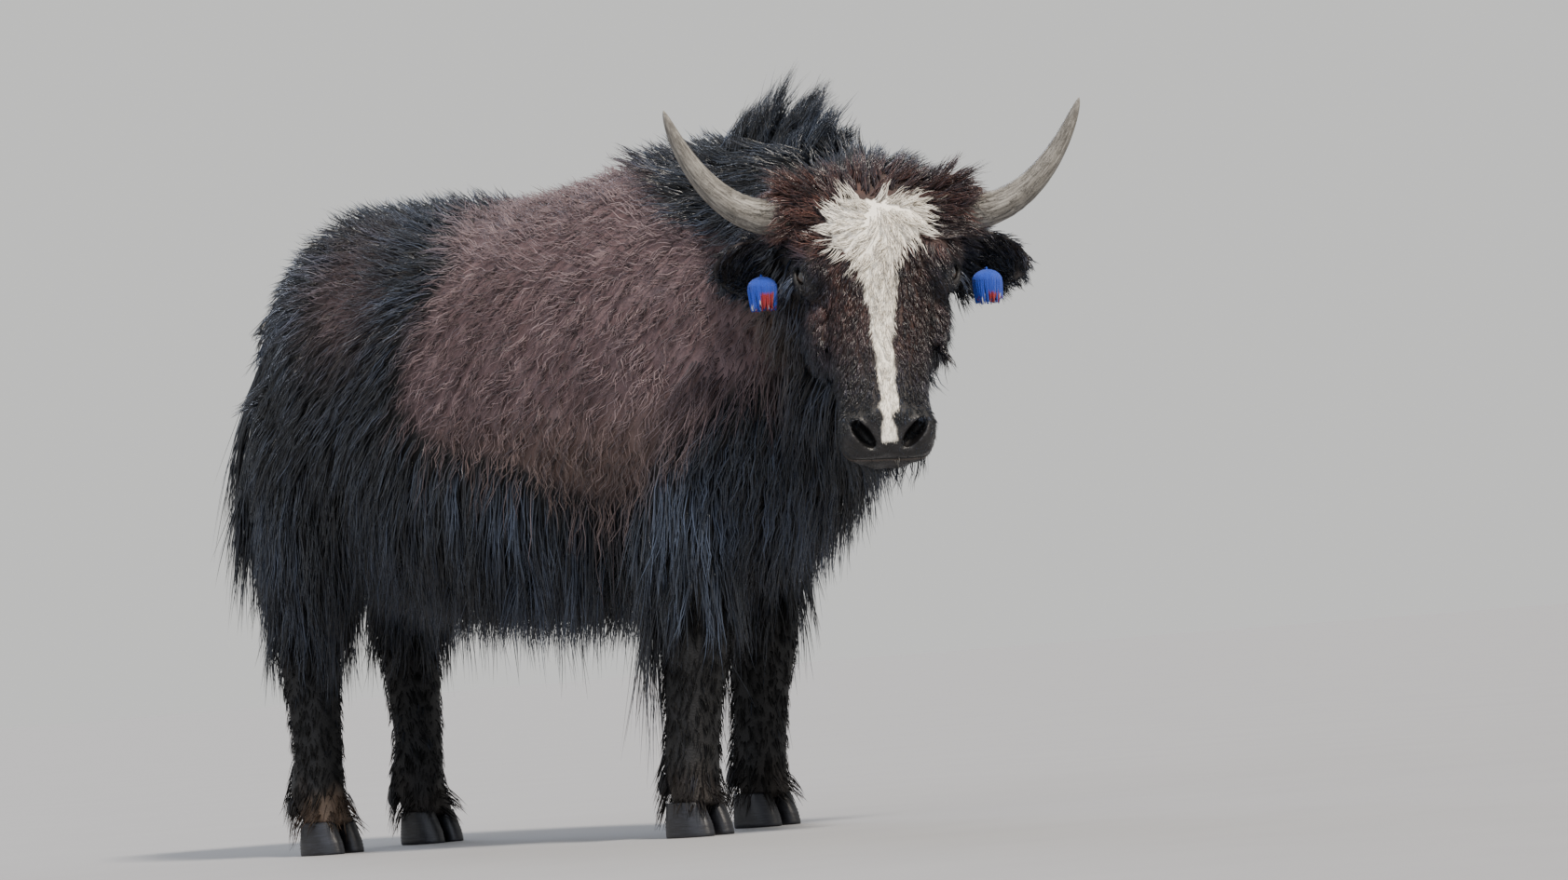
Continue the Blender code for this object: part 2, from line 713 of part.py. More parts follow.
def head_locks(skull, skin, dice):
    """Forelock and poll hair, the hair of the cheeks and jaw, and a thin beard."""
    own = tree_of([skull])
    locks = []
    for group in HEAD_LOCKS:
        down, out, front, aim, lie, length, width, thickness, lift = group
        for side, _ in SIDES:
            middle = at_head(down, side * out, front)
            away = along_head(aim[0], side * aim[1], aim[2])
            root, normal = root_on(own, middle, away)
            if root is None:
                continue
            reach = length * dice.uniform(0.88, 1.12)
            way = along_head(lie[0], side * lie[1], lie[2])
            path = grow_path(skin, root, normal, way, reach, lift, 0.05, thickness * 0.4)
            locks.append(lock(path, normal, width, thickness))
    return locks


def tail_locks(dock, skin, dice):
    """Long hair that hangs from both sides and the end of the dock."""
    own = tree_of([dock])
    locks = []
    for height, turns, length, width in TAIL_ROWS:
        for turn in turns:
            angle = math.radians(turn + dice.uniform(-14, 14))
            above = next(point for point, below in zip(TAIL, TAIL[1:]) if below[2] < height)
            below = TAIL[TAIL.index(above) + 1]
            share = (height - above[2]) / (below[2] - above[2])
            middle = Vector(above).lerp(Vector(below), share)
            away = Vector((math.cos(angle), math.sin(angle), 0.0))
            root, normal = root_on(own, middle, away)
            if root is None:
                continue
            reach = length * dice.uniform(0.9, 1.1)
            path = grow_path(skin, root, normal, -UP, reach, TAIL_LIFT, 0.10, TAIL_LOCK_THICKNESS * 0.4)
            locks.append(lock(path, normal, width, TAIL_LOCK_THICKNESS))
    return locks


def ear_locks(shell, side, dice):
    """The fringe that hangs from the rim of an ear."""
    out, across, opening = ear_axes(side)
    root = at_head(EAR_AT[0], side * EAR_AT[1], EAR_AT[2])
    lower = across if across.z < 0 else -across
    sunk = 0.014
    locks = []
    for share, spread, length in EAR_LOCKS:
        place = root + out * (EAR_LENGTH * share) + lower * (EAR_HALF_WIDTH * spread) - opening * sunk
        away = (out * (share - 0.3) * 1.2 + lower * (1.0 if spread > 0 else -0.6)).normalized()
        places = [place - away * sunk]
        for step in range(1, LOCK_STATIONS):
            part = step / (LOCK_STATIONS - 1)
            places.append(place + away * (length * part) - UP * (0.012 * part**2))
        locks.append(lock(places, opening, *EAR_LOCK))
    return locks


def leg_locks(limb, name, foot, skin, dice):
    """Shaggy hair down the back and sides of a leg."""
    own = tree_of([limb])
    shape, _ = leg_plan(name)
    length, width, thickness = LEG_LOCK
    lie = Vector((-0.15, 0.0, -1.0))
    locks = []
    for height, turns in LEG_ROWS:
        forward = min(shape, key=lambda row: abs(row[1] - height))[0]
        for turn in turns:
            angle = math.radians(turn + dice.uniform(-14, 14))
            middle = Vector((foot[0] + forward, foot[1], height + dice.uniform(-0.012, 0.012)))
            root, normal = root_on(own, middle, Vector((math.cos(angle), math.sin(angle), 0.0)))
            reach = length * dice.uniform(0.85, 1.15)
            path = grow_path(skin, root, normal, lie, reach, 0.30, 0.10, thickness * 0.3)
            locks.append(lock(path, normal, width, thickness))
    return locks


def head_axes():
    """The head's directions: down the nose, out to its left and out of the face."""
    ahead = Vector((math.cos(FACE_HEADING), math.sin(FACE_HEADING), 0.0))
    left = UP.cross(ahead)
    nose = ahead * math.sin(NOSE_FORWARD) - UP * math.cos(NOSE_FORWARD)
    face = ahead * math.cos(NOSE_FORWARD) + UP * math.sin(NOSE_FORWARD)
    roll = Matrix.Rotation(HEAD_ROLL, 3, face)
    return roll @ nose, roll @ left, face


def at_head(down, out, front):
    """A point of the head from its distance down the face, out to the left and in front of the face."""
    nose, left, face = head_axes()
    return POLL + nose * down + left * out + face * front


def along_head(down, out, front):
    nose, left, face = head_axes()
    return (nose * down + left * out + face * front).normalized()


def ellipsoid(name, centre, axes, radii, rows=8, count=12):
    """A closed ellipsoid with its radii along three square axes."""
    bm = bmesh.new()
    bmesh.ops.create_uvsphere(bm, u_segments=count, v_segments=rows, radius=1.0)
    turn = Matrix([[axis[row] for axis in axes] for row in range(3)]).to_4x4()
    bmesh.ops.transform(
        bm, verts=bm.verts[:], matrix=Matrix.Translation(centre) @ turn @ Matrix.Diagonal((*radii, 1.0))
    )
    return new_object(name, bm)


def eye_axes(side):
    """The eye's own directions: along its slit, up across it, and the way that it looks."""
    look = along_head(-0.10, side * 0.80, 0.58)
    slit = along_head(0.93, side * -0.20, 0.25)
    slit = (slit - look * slit.dot(look)).normalized()
    return slit, look.cross(slit), look


def eye_centre(side):
    down, out, front = EYE_AT
    return at_head(down, side * out, front)


def head():
    """Skull and muzzle with the rims of the eyes, the nostrils and the line of the mouth."""
    _, left, face = head_axes()
    bm = bmesh.new()
    rings = []
    for down, front, throat, half_width, power in HEAD:
        middle = (front + throat) / 2
        half_height = (front - throat) / 2
        centre = at_head(down, 0.0, middle)
        rings.append(add_ring(bm, centre, left, face, half_width, half_height, half_height, power, 18))
    loft(bm, rings)
    skull = new_object("head", bm, "wool")
    orbits = [ellipsoid("orbit", eye_centre(side), eye_axes(side), ORBIT_RADII, 6, 10) for side, _ in SIDES]
    boolean(skull, orbits, "UNION")
    cutters = []
    for side, _ in SIDES:
        down, out, front = NOSTRIL_AT
        slant = along_head(0.62, -side * 0.70, 0.0)
        inwards = along_head(0.0, side * 0.45, 1.0)
        across = inwards.cross(slant).normalized()
        opening = at_head(down, side * out, front)
        cutters.append(ellipsoid("nostril", opening, (slant, across, inwards), NOSTRIL_RADII))
        slit, rise, look = eye_axes(side)
        between_lids = eye_centre(side) + look * SLIT_OUT
        cutters.append(ellipsoid("slit", between_lids, (slit, rise, look), SLIT_RADII))
    cutters.append(mouth_cutter(skull))
    boolean(skull, cutters, "DIFFERENCE")
    return skull


def mouth_cutter(skull):
    """A thin wedge that scores the line of the mouth round the muzzle."""
    _, left, _ = head_axes()
    front = at_head(MOUTH_FRONT[0], 0.0, MOUTH_FRONT[1])
    corner = at_head(MOUTH_CORNER[0], 0.0, MOUTH_CORNER[1])
    along = (front - corner).normalized()
    length = (front - corner).length + MOUTH_OVERRUN
    bm = bmesh.new()
    bmesh.ops.create_cube(bm, size=1.0)
    turn = Matrix([[axis[row] for axis in (along, left, along.cross(left))] for row in range(3)]).to_4x4()
    size = Matrix.Diagonal((length, 0.24, MOUTH_SLOT, 1.0))
    place = Matrix.Translation(corner + along * length / 2)
    bmesh.ops.transform(bm, verts=bm.verts[:], matrix=place @ turn @ size)
    slab = new_object("mouth", bm)
    boolean(slab, [grown_copy(skull, -MOUTH_DEPTH)], "DIFFERENCE")
    return slab


def eyeball(side, name):
    made = ellipsoid(name, eye_centre(side), eye_axes(side), (EYE_RADIUS,) * 3, 8, 12)
    made.data.materials.append(material(name, "eye"))
    return made


def bezier(points, share):
    """A point on the cubic curve of four control points."""
    rest = 1.0 - share
    weights = (rest**3, 3 * rest * rest * share, 3 * rest * share * share, share**3)
    return sum((p * w for p, w in zip(points, weights)), Vector())


def horn_solid(side, name):
    """A horn that leaves sideways and sweeps up, with faint rings near its root."""
    controls = [at_head(down, side * out, front) for down, out, front in HORN]
    places, radii = [], []
    for step in range(HORN_RINGS):
        share = step / (HORN_RINGS - 1)
        wrinkle = HORN_WRINKLE * math.sin(step * 2.4) * max(0.0, 1.0 - 2.0 * share)
        places.append(bezier(controls, share))
        radii.append(HORN_RADIUS * (1.0 - share) ** 0.72 * (1.0 - 0.1 * share) + HORN_TIP_RADIUS + wrinkle)
    bm = bmesh.new()
    tube(bm, places, radii, 10)
    return new_object(name, bm, "horn")


def ear_axes(side):
    """The ear's directions: out along it, across its cup, and the way that the cup opens."""
    out = along_head(0.05, side * 0.98, -0.15)
    opening = along_head(0.35, side * 0.10, 1.0)
    opening = (opening - out * opening.dot(out)).normalized()
    return out, out.cross(opening), opening


def ear(side, name):
    """A leaf-shaped cup with a rolled root."""
    out, across, opening = ear_axes(side)
    root = at_head(EAR_AT[0], side * EAR_AT[1], EAR_AT[2])
    bm = bmesh.new()
    rings = []
    for row in range(EAR_ROWS):
        share = row / (EAR_ROWS - 1)
        half_width = EAR_HALF_WIDTH * (0.42 + 0.58 * math.sin(min(1.0, share * 1.5) * math.pi / 2))
        half_width *= (1.0 - share**3.2) ** 0.8 + 0.04
        depth = half_width * (0.85 - 0.45 * share)
        wall = min(EAR_THICKNESS * (2.4 - 1.4 * min(1.0, share * 3.0)), half_width * 0.6, depth * 0.6)
        centre = root + out * (EAR_LENGTH * share) - opening * (0.012 * math.sin(share * math.pi))
        rings.append(ear_ring(bm, centre, across, opening, half_width, depth, wall))
    count = len(rings[0])
    for near, far in zip(rings, rings[1:]):
        for step in range(count):
            after = (step + 1) % count
            bm.faces.new((near[step], near[after], far[after], far[step]))
    for ring in (rings[0], rings[-1]):
        for step in range(EAR_POINTS - 1):
            bm.faces.new((ring[step], ring[step + 1], ring[count - 2 - step], ring[count - 1 - step]))
    return new_object(name, bm, "wool")


def ear_ring(bm, centre, across, opening, half_width, depth, wall):
    """One section of the ear: round its back from rim to rim, then back through the cup."""
    verts = []
    for inset, steps in ((0.0, range(EAR_POINTS)), (wall, reversed(range(EAR_POINTS)))):
        for step in steps:
            angle = math.pi * step / (EAR_POINTS - 1)
            wide = (half_width - inset) * math.cos(angle)
            deep = (depth - inset) * math.sin(angle)
            verts.append(bm.verts.new(centre + across * wide - opening * deep))
    return verts


def tassel_place(side):
    """Where the tuft of yarn hangs from the lower rim of the ear."""
    out, across, opening = ear_axes(side)
    root = at_head(EAR_AT[0], side * EAR_AT[1], EAR_AT[2])
    lower = across if across.z < 0 else -across
    along, down, ahead = TASSEL_AT
    return root + out * along + lower * down + opening * ahead


def tassel(side, name):
    """A tuft of yarn: a fluted dome that opens into thread ends."""
    top = tassel_place(side)
    bm = bmesh.new()
    rings = []
    for height, share in TASSEL_ROWS:
        radius = TASSEL_RADIUS * share
        rings.append(add_ring(bm, top + UP * height, FORWARD, LEFT, radius, radius, radius, 2.0, 20))
    for ring in rings[1:]:
        verts = {vert for edge in ring for vert in edge.verts}
        in_turn = sorted(verts, key=lambda v: math.atan2(v.co.y - top.y, v.co.x - top.x))
        for vert in in_turn[1::2]:
            vert.co.x = top.x + (vert.co.x - top.x) * TASSEL_FLUTE
            vert.co.y = top.y + (vert.co.y - top.y) * TASSEL_FLUTE
            if ring is rings[-1]:
                vert.co.z -= TASSEL_RAGGED
    loft(bm, rings)
    return new_object(name, bm, "yarn")


def tail():
    bm = bmesh.new()
    tube(bm, [Vector(p) for p in TAIL], TAIL_RADII, 10)
    return new_object("tail", bm, "wool")


def claws(name, foot):
    """The two claws of a hoof and the dewclaws behind it."""
    made = {}
    for side, word in SIDES:
        bm = bmesh.new()
        aside = foot[1] + side * (CLAW_WIDTH + CLAW_GAP) / 2
        rings = []
        for height, heel, toe, share in CLAW_ROWS:
            centre = Vector((foot[0] + (toe + heel) / 2, aside, height))
            half_length = (toe - heel) / 2
            half_width = CLAW_WIDTH / 2 * share
            rings.append(add_ring(bm, centre, LEFT, FORWARD, half_width, half_length, half_length, 2.6, 12))
        loft(bm, rings)
        key = f"claw_{name}_{word}"
        made[key] = new_object(key, bm, "hoof")
    return made


def dewclaws(name, foot):
    """The two small claws behind the fetlock, which point down and back."""
    made = {}
    back = DEWCLAW_BACK[name.split("_")[0]]
    axes = (LEFT, DEWCLAW_AXIS.cross(LEFT), DEWCLAW_AXIS)
    radii = (DEWCLAW_RADIUS, DEWCLAW_RADIUS, DEWCLAW_RADIUS * DEWCLAW_STRETCH)
    for side, word in SIDES:
        centre = Vector((foot[0] + back, foot[1] + side * DEWCLAW_OUT, DEWCLAW_HEIGHT))
        key = f"dewclaw_{name}_{word}"
        made[key] = ellipsoid(key, centre, axes, radii, 4, 7)
        made[key].data.materials.append(material(key, "hoof"))
    return made


main()
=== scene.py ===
# %% [markdown]
# # A domestic yak, dressed for the museum floor
# The solid model of a small long-haired yak is loaded first, and nothing on it is moved. Flesh, horns,
# hooves, eyes and ear tassels are then each given a finer piece that takes their place, and a long coat
# of hair grows from the skin. All lengths are metres. +X is the way that the body faces, +Y is its left.

# %% Load the solid model
import math

import bmesh
import bpy
import numpy as np
from mathutils import Matrix, Vector
from mathutils.bvhtree import BVHTree
from mathutils.kdtree import KDTree


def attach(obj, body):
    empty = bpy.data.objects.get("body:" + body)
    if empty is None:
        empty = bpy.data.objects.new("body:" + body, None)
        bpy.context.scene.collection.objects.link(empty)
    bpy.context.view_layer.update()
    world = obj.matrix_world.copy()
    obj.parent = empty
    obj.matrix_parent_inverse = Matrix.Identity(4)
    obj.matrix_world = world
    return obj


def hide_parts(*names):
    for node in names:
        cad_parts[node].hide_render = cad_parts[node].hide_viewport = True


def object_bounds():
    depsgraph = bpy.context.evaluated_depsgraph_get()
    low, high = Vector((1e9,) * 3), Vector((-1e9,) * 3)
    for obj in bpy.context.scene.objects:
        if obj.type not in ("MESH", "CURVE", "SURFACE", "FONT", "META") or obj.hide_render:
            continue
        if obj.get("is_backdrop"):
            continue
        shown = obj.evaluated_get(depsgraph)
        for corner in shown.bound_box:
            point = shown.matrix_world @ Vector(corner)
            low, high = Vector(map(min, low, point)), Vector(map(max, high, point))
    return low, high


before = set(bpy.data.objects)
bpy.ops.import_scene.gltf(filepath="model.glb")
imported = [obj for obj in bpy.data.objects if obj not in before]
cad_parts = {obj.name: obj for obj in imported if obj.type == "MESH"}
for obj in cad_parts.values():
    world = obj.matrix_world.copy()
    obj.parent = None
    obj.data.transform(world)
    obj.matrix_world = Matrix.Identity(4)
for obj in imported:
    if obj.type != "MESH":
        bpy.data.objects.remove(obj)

solid_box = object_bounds()
print("solid box", solid_box)

# %% [markdown]
# Where things are. The yak was laid out in a frame under the middle of its trunk, and then moved so
# that its outline is centred. The head turns to the yak's right and hangs down, so it is easiest to
# describe in directions of its own: down the nose, out to its left, and out of the face.

# %% Directions of the body and of the head
UP = Vector((0, 0, 1))
FORWARD = Vector((1, 0, 0))
LEFT = Vector((0, 1, 0))
SIDES = ((1, "left"), (-1, "right"))
CENTRE = Vector((-0.103, 0.036, 0.0))
POLL = Vector((0.833, -0.133, 1.015)) + CENTRE
FACE_HEADING = math.radians(-40.0)
NOSE_FORWARD = math.radians(17.0)
HEAD_ROLL = math.radians(-2.5)


def here(place):
    """A place of the trunk's own frame, in the frame of the whole model."""
    return Vector(place) + CENTRE


def from_centre(points):
    """Many points of the whole model at once, in the trunk's own frame."""
    return points - np.array(CENTRE)


ahead = Vector((math.cos(FACE_HEADING), math.sin(FACE_HEADING), 0.0))
FACE = ahead * math.cos(NOSE_FORWARD) + UP * math.sin(NOSE_FORWARD)
head_turn = Matrix.Rotation(HEAD_ROLL, 3, FACE)
NOSE = head_turn @ (ahead * math.sin(NOSE_FORWARD) - UP * math.cos(NOSE_FORWARD))
HEAD_LEFT = head_turn @ UP.cross(ahead)
HEAD_FRAME = np.array([NOSE, HEAD_LEFT, FACE])


def at_head(down, out, front):
    """A point of the head: down the face from the poll, out to its left, in front of the face."""
    return POLL + NOSE * down + HEAD_LEFT * out + FACE * front


def on_side(place, side):
    """A point given for the left side of the head, there (1) or mirrored to the right side (-1)."""
    down, out, front = place
    return at_head(down, side * out, front)


def along_head(down, out, front):
    """A direction of the head, one unit long."""
    return (NOSE * down + HEAD_LEFT * out + FACE * front).normalized()


def in_head(points):
    """Many points at once, as distances down, out and in front."""
    return (points - np.array(POLL)) @ HEAD_FRAME.T


print("poll", tuple(round(v, 3) for v in POLL))

# %% [markdown]
# The camera stands low and to the front right of the yak, with a long lens, and is rolled a little. It
# could be placed by eye, but its place was fitted to hooves, horns and eyes. A pale floor meets a pale
# world, so that no horizon shows, and three soft lamps light the black coat from above and both sides.

# %% Camera, floor and light
CAMERA_AT = here((7.103, -6.643, 0.292))
LOOK_AT = here((0.460, 0.000, 0.620))
LENS = 135.0
SENSOR_WIDTH = 36.0
FARTHEST = 200.0
CAMERA_ROLL = math.radians(-4.6)


def linear(code, alpha=1.0):
    """An sRGB hex colour as the linear values that shaders take."""
    parts = [int(code[i : i + 2], 16) / 255 for i in (1, 3, 5)]
    return (*[c / 12.92 if c <= 0.04045 else ((c + 0.055) / 1.055) ** 2.4 for c in parts], alpha)


def aim(obj, place, target, roll=0.0):
    """Puts a camera or a lamp at its place, turned to a target."""
    turn = (target - place).to_track_quat("-Z", "Y").to_matrix() @ Matrix.Rotation(roll, 3, "Z")
    obj.location = place
    obj.rotation_euler = turn.to_euler()
    bpy.context.scene.collection.objects.link(obj)


camera = bpy.data.objects.new("camera", bpy.data.cameras.new("camera"))
camera.data.lens = LENS
camera.data.sensor_width = SENSOR_WIDTH
camera.data.clip_end = FARTHEST
aim(camera, CAMERA_AT, LOOK_AT, CAMERA_ROLL)
bpy.context.scene.camera = camera

# Name, place, softness in degrees, strength and tint of each lamp, all aimed at the trunk
LAMPS_AIM_AT = Vector((0.0, 0.0, 0.7))
LAMPS = (
    ("key", (4.0, -1.2, 5.6), 8.0, 5.8, "#fff5e8"),
    ("fill", (1.0, -5.4, 2.4), 50.0, 0.9, "#dbe6ff"),
    ("rim", (-4.6, 2.2, 3.4), 30.0, 1.3, "#dfe9ff"),
)
for name, place, spread, strength, tint in LAMPS:
    lamp = bpy.data.lights.new(name, "SUN")
    lamp.angle = math.radians(spread)
    lamp.energy = strength
    lamp.color = linear(tint)[:3]
    aim(bpy.data.objects.new(name, lamp), Vector(place), LAMPS_AIM_AT)
print("camera at", tuple(round(v, 2) for v in CAMERA_AT), "and lamps", [lamp[0] for lamp in LAMPS])

# %% [markdown]
# Materials. Each one is a small node tree around one Principled shader. Ready-made node groups would do
# as well, but one function that adds any node, sets its values and joins its inputs lets a tree be read
# from top to bottom like a recipe. Patterns are drawn in metres, so a scale is features per metre.

# %% A function that adds a node
MIX = {"data_type": "RGBA"}
MULTIPLY = {"data_type": "RGBA", "blend_type": "MULTIPLY"}
CLOUDY = {"Detail": 3.0, "Roughness": 0.55}


def add_node(tree, kind, settings=None, links=None, out=0):
    """Adds a node and returns one of its outputs, or the node itself where out is None.

    Settings are the node's own values, and stops are the places and colours of a ramp. A link is an
    input's name or number with the output that feeds it, a value or a hex colour.
    """
    node = tree.nodes.new("ShaderNode" + kind)
    settings = dict(settings or {})
    for number, (place, code) in enumerate(settings.pop("stops", ())):
        elements = node.color_ramp.elements
        element = elements[number] if number < len(elements) else elements.new(place)
        element.position, element.color = place, linear(code)
    for name, value in settings.items():
        setattr(node, name, value)
    for name, value in (links or {}).items():
        if isinstance(value, bpy.types.NodeSocket):
            tree.links.new(value, node.inputs[name])
        else:
            node.inputs[name].default_value = linear(value) if isinstance(value, str) else value
    return node if out is None else node.outputs[out]


def new_material(name):
    """A material with its node tree and its shader."""
    made = bpy.data.materials.new(name)
    made.use_nodes = True
    print("material", name)
    return made, made.node_tree, made.node_tree.nodes["Principled BSDF"]


def in_scene(name, mesh):
    """An object with this mesh, linked to the scene."""
    obj = bpy.data.objects.new(name, mesh)
    bpy.context.scene.collection.objects.link(obj)
    return obj

# %% [markdown]
# The floor is pale studio plaster, smoothed with a trowel, which looks matt and clouded by one shade at
# most. A backdrop could be swept up behind the yak in one curve. Here the floor runs far out instead,
# until its shade meets that of the world, which is quicker and leaves the shadow undisturbed.

# %% Floor and world
FLOOR_HALF_SIZE = 60.0

floor_mat, tree, shader = new_material("pale_plaster_floor")
# The trowel's clouds are about 330 mm across
place = add_node(tree, "TexCoord", out="Object")
cloud = add_node(tree, "TexNoise", links={"Vector": place, "Scale": 3.0, **CLOUDY})
plaster = add_node(tree, "ValToRGB", {"stops": ((0.3, "#909092"), (0.7, "#939395"))}, {"Fac": cloud})
tree.links.new(plaster, shader.inputs["Base Color"])
shader.inputs["Roughness"].default_value = 0.9
bm = bmesh.new()
bmesh.ops.create_grid(bm, x_segments=1, y_segments=1, size=FLOOR_HALF_SIZE)
floor_mesh = bpy.data.meshes.new("floor")
bm.to_mesh(floor_mesh)
bm.free()
floor_mesh.materials.append(floor_mat)
floor = in_scene("floor", floor_mesh)
floor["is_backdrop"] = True

world = bpy.data.worlds.new("studio")
world.use_nodes = True
backdrop = world.node_tree.nodes["Background"]
backdrop.inputs["Color"].default_value = linear("#e6e6e4")
backdrop.inputs["Strength"].default_value = 0.97
bpy.context.scene.world = world
print("floor and world are set")

# %% [markdown]
# The flesh. A yak's trunk is a deep barrel with a hump over its shoulders, on short legs set well apart.
# It could be sculpted by hand, but lofts through rings keep to measured widths. First come the rings of
# each part, as places and sizes in metres. They lie a little inside the solids, as the coat has its depth.

# %% Rings of the body
SKIN_DEPTH = 0.012
LEG_DEPTH = 0.003
TRUNK = (
    # Forward, top, bottom, half width, and the height where it is widest
    (-0.690, 0.935, 0.780, 0.050, 0.860),
    (-0.650, 0.985, 0.660, 0.120, 0.830),
    (-0.585, 1.040, 0.560, 0.185, 0.790),
    (-0.460, 1.081, 0.480, 0.240, 0.760),
    (-0.280, 1.076, 0.440, 0.262, 0.730),
    (-0.080, 1.066, 0.415, 0.282, 0.700),
    (0.100, 1.078, 0.410, 0.276, 0.700),
    (0.240, 1.106, 0.420, 0.252, 0.710),
    (0.360, 1.105, 0.440, 0.228, 0.710),
    (0.460, 1.098, 0.470, 0.205, 0.720),
    (0.550, 1.064, 0.510, 0.160, 0.730),
    (0.610, 1.004, 0.580, 0.095, 0.750),
)
NECK = (
    # Middle, half width and half height
    ((0.400, 0.000, 0.845), 0.185, 0.245),
    ((0.520, -0.015, 0.860), 0.160, 0.240),
    ((0.620, -0.050, 0.872), 0.138, 0.222),
    ((0.700, -0.092, 0.880), 0.122, 0.180),
    ((0.760, -0.130, 0.880), 0.105, 0.120),
)
FORE_LEG = (
    # Forward of the foot, height, half depth and half width
    (0.030, 0.760, 0.120, 0.060),
    (0.040, 0.640, 0.125, 0.085),
    (0.036, 0.520, 0.098, 0.082),
    (0.030, 0.430, 0.072, 0.066),
    (0.026, 0.350, 0.062, 0.060),
    (0.024, 0.290, 0.058, 0.056),
    (0.012, 0.230, 0.051, 0.049),
    (0.002, 0.160, 0.047, 0.046),
    (-0.008, 0.105, 0.049, 0.048),
    (-0.002, 0.070, 0.042, 0.044),
    (0.006, 0.046, 0.050, 0.048),
)
HIND_LEG = (
    (0.080, 0.800, 0.170, 0.070),
    (0.085, 0.680, 0.165, 0.098),
    (0.052, 0.560, 0.120, 0.090),
    (0.012, 0.470, 0.086, 0.070),
    (-0.014, 0.400, 0.067, 0.056),
    (-0.020, 0.340, 0.059, 0.053),
    (-0.017, 0.250, 0.049, 0.046),
    (-0.016, 0.170, 0.045, 0.043),
    (-0.029, 0.110, 0.053, 0.048),
    (-0.012, 0.070, 0.045, 0.045),
    (0.004, 0.046, 0.050, 0.047),
)
FEET = {
    "front_right": (0.325, -0.125),
    "front_left": (0.225, 0.125),
    "hind_right": (-0.580, -0.125),
    "hind_left": (-0.600, 0.120),
}
TAIL = (
    (-0.650, 0.000, 0.955),
    (-0.720, -0.008, 0.930),
    (-0.755, -0.030, 0.830),
    (-0.765, -0.055, 0.690),
    (-0.760, -0.075, 0.550),
)
TAIL_RADII = (0.034, 0.031, 0.025, 0.019, 0.010)
print("rings:", len(TRUNK), "of trunk,", len(NECK), "of neck,", len(FORE_LEG), "of each leg")

# %% [markdown]
# Tools for flesh. A loft bridges one ring to the next, as a basket is woven over its hoops. Rings of a
# squarer outline than an ellipse give a barrel its flat flanks. Booleans join or cut whole shapes, and
# a voxel remesh then melts them into one surface, which is smoothed until no ring shows.

# %% Rings and lofts
def rounded(value, power):
    """A coordinate of a rounded square: power 2 is an ellipse, and more is squarer."""
    return math.copysign(abs(value) ** (2.0 / power), value)


def add_ring(bm, centre, side, up, half_width, above, below, power=2.0, count=24):
    """Adds one closed ring in the plane of side and up, and returns its edges."""
    verts = bmesh.ops.create_circle(bm, segments=count, radius=1.0)["verts"]
    edges = list({edge for vert in verts for edge in vert.link_edges})
    for vert in verts:
        across, height = rounded(vert.co.x, power), rounded(vert.co.y, power)
        vert.co = centre + side * (across * half_width) + up * (height * (above if height > 0 else below))
    return edges


def loft(bm, rings):
    """Joins rings into one closed tube."""
    for near, far in zip(rings, rings[1:]):
        bmesh.ops.bridge_loops(bm, edges=near + far)
    for end in (rings[0], rings[-1]):
        bmesh.ops.edgeloop_fill(bm, edges=end)


def hoop(bm, rings):
    """Joins rings into a tube that closes on itself."""
    for number, ring in enumerate(rings):
        bmesh.ops.bridge_loops(bm, edges=rings[number - 1] + ring)


def tube(bm, places, radii, count):
    """A closed tube through places, each ring square to the path."""
    rings = []
    for number, (place, radius) in enumerate(zip(places, radii)):
        along = places[min(number + 1, len(places) - 1)] - places[max(number - 1, 0)]
        side = along.cross(LEFT if abs(along.normalized().y) < 0.7 else UP).normalized()
        up = along.normalized().cross(side)
        rings.append(add_ring(bm, place, side, up, radius, radius, radius, 2.0, count))
    loft(bm, rings)


def as_object(name, bm, material=None):
    """Turns a bmesh into an object whose faces point out."""
    bmesh.ops.recalc_face_normals(bm, faces=bm.faces[:])
    mesh = bpy.data.meshes.new(name)
    bm.to_mesh(mesh)
    bm.free()
    if material is not None:
        mesh.materials.append(material)
    return in_scene(name, mesh)


def applied(obj):
    """Gives an object the mesh that its modifiers make, and drops them."""
    bpy.context.view_layer.update()
    mesh = bpy.data.meshes.new_from_object(obj.evaluated_get(bpy.context.evaluated_depsgraph_get()))
    obj.modifiers.clear()
    obj.data = mesh
    return obj


def boolean(target, others, operation):
    """One Boolean of target with all the others, which are then removed."""
    group = bpy.data.collections.new("operands")
    bpy.context.scene.collection.children.link(group)
    for other in others:
        bpy.context.scene.collection.objects.unlink(other)
        group.objects.link(other)
    step = target.modifiers.new("boolean", "BOOLEAN")
    step.operation = operation
    step.solver = "MANIFOLD"
    step.operand_type = "COLLECTION"
    step.collection = group
    applied(target)
    for other in others:
        bpy.data.objects.remove(other)
    bpy.data.collections.remove(group)
    return target


def melt(obj, voxel, rounds, factor=0.5):
    """Melts a heap of closed shapes into one smooth surface."""
    remesh = obj.modifiers.new("remesh", "REMESH")
    remesh.mode = "VOXEL"
    remesh.voxel_size = voxel
    smooth = obj.modifiers.new("smooth", "SMOOTH")
    smooth.factor = factor
    smooth.iterations = rounds
    return applied(obj)

# %% [markdown]
# Trunk, neck, legs and tail. Each is a loft of its own, and the legs start high inside the trunk, so that
# one Boolean joins them all. Modelling them as one mesh with extruded legs would need a hand-made flow of
# faces at each shoulder. After the remesh nobody sees that, as the coat covers it.

# %% Trunk, neck, legs and tail
BODY_VOXEL = 0.011
bm = bmesh.new()
loft(bm, [
    add_ring(bm, here((forward, 0.0, widest)), LEFT, UP, half_width - SKIN_DEPTH,
             top - widest - SKIN_DEPTH, widest - bottom - SKIN_DEPTH, 2.3, 32)
    for forward, top, bottom, half_width, widest in TRUNK
])
body = as_object("body", bm)

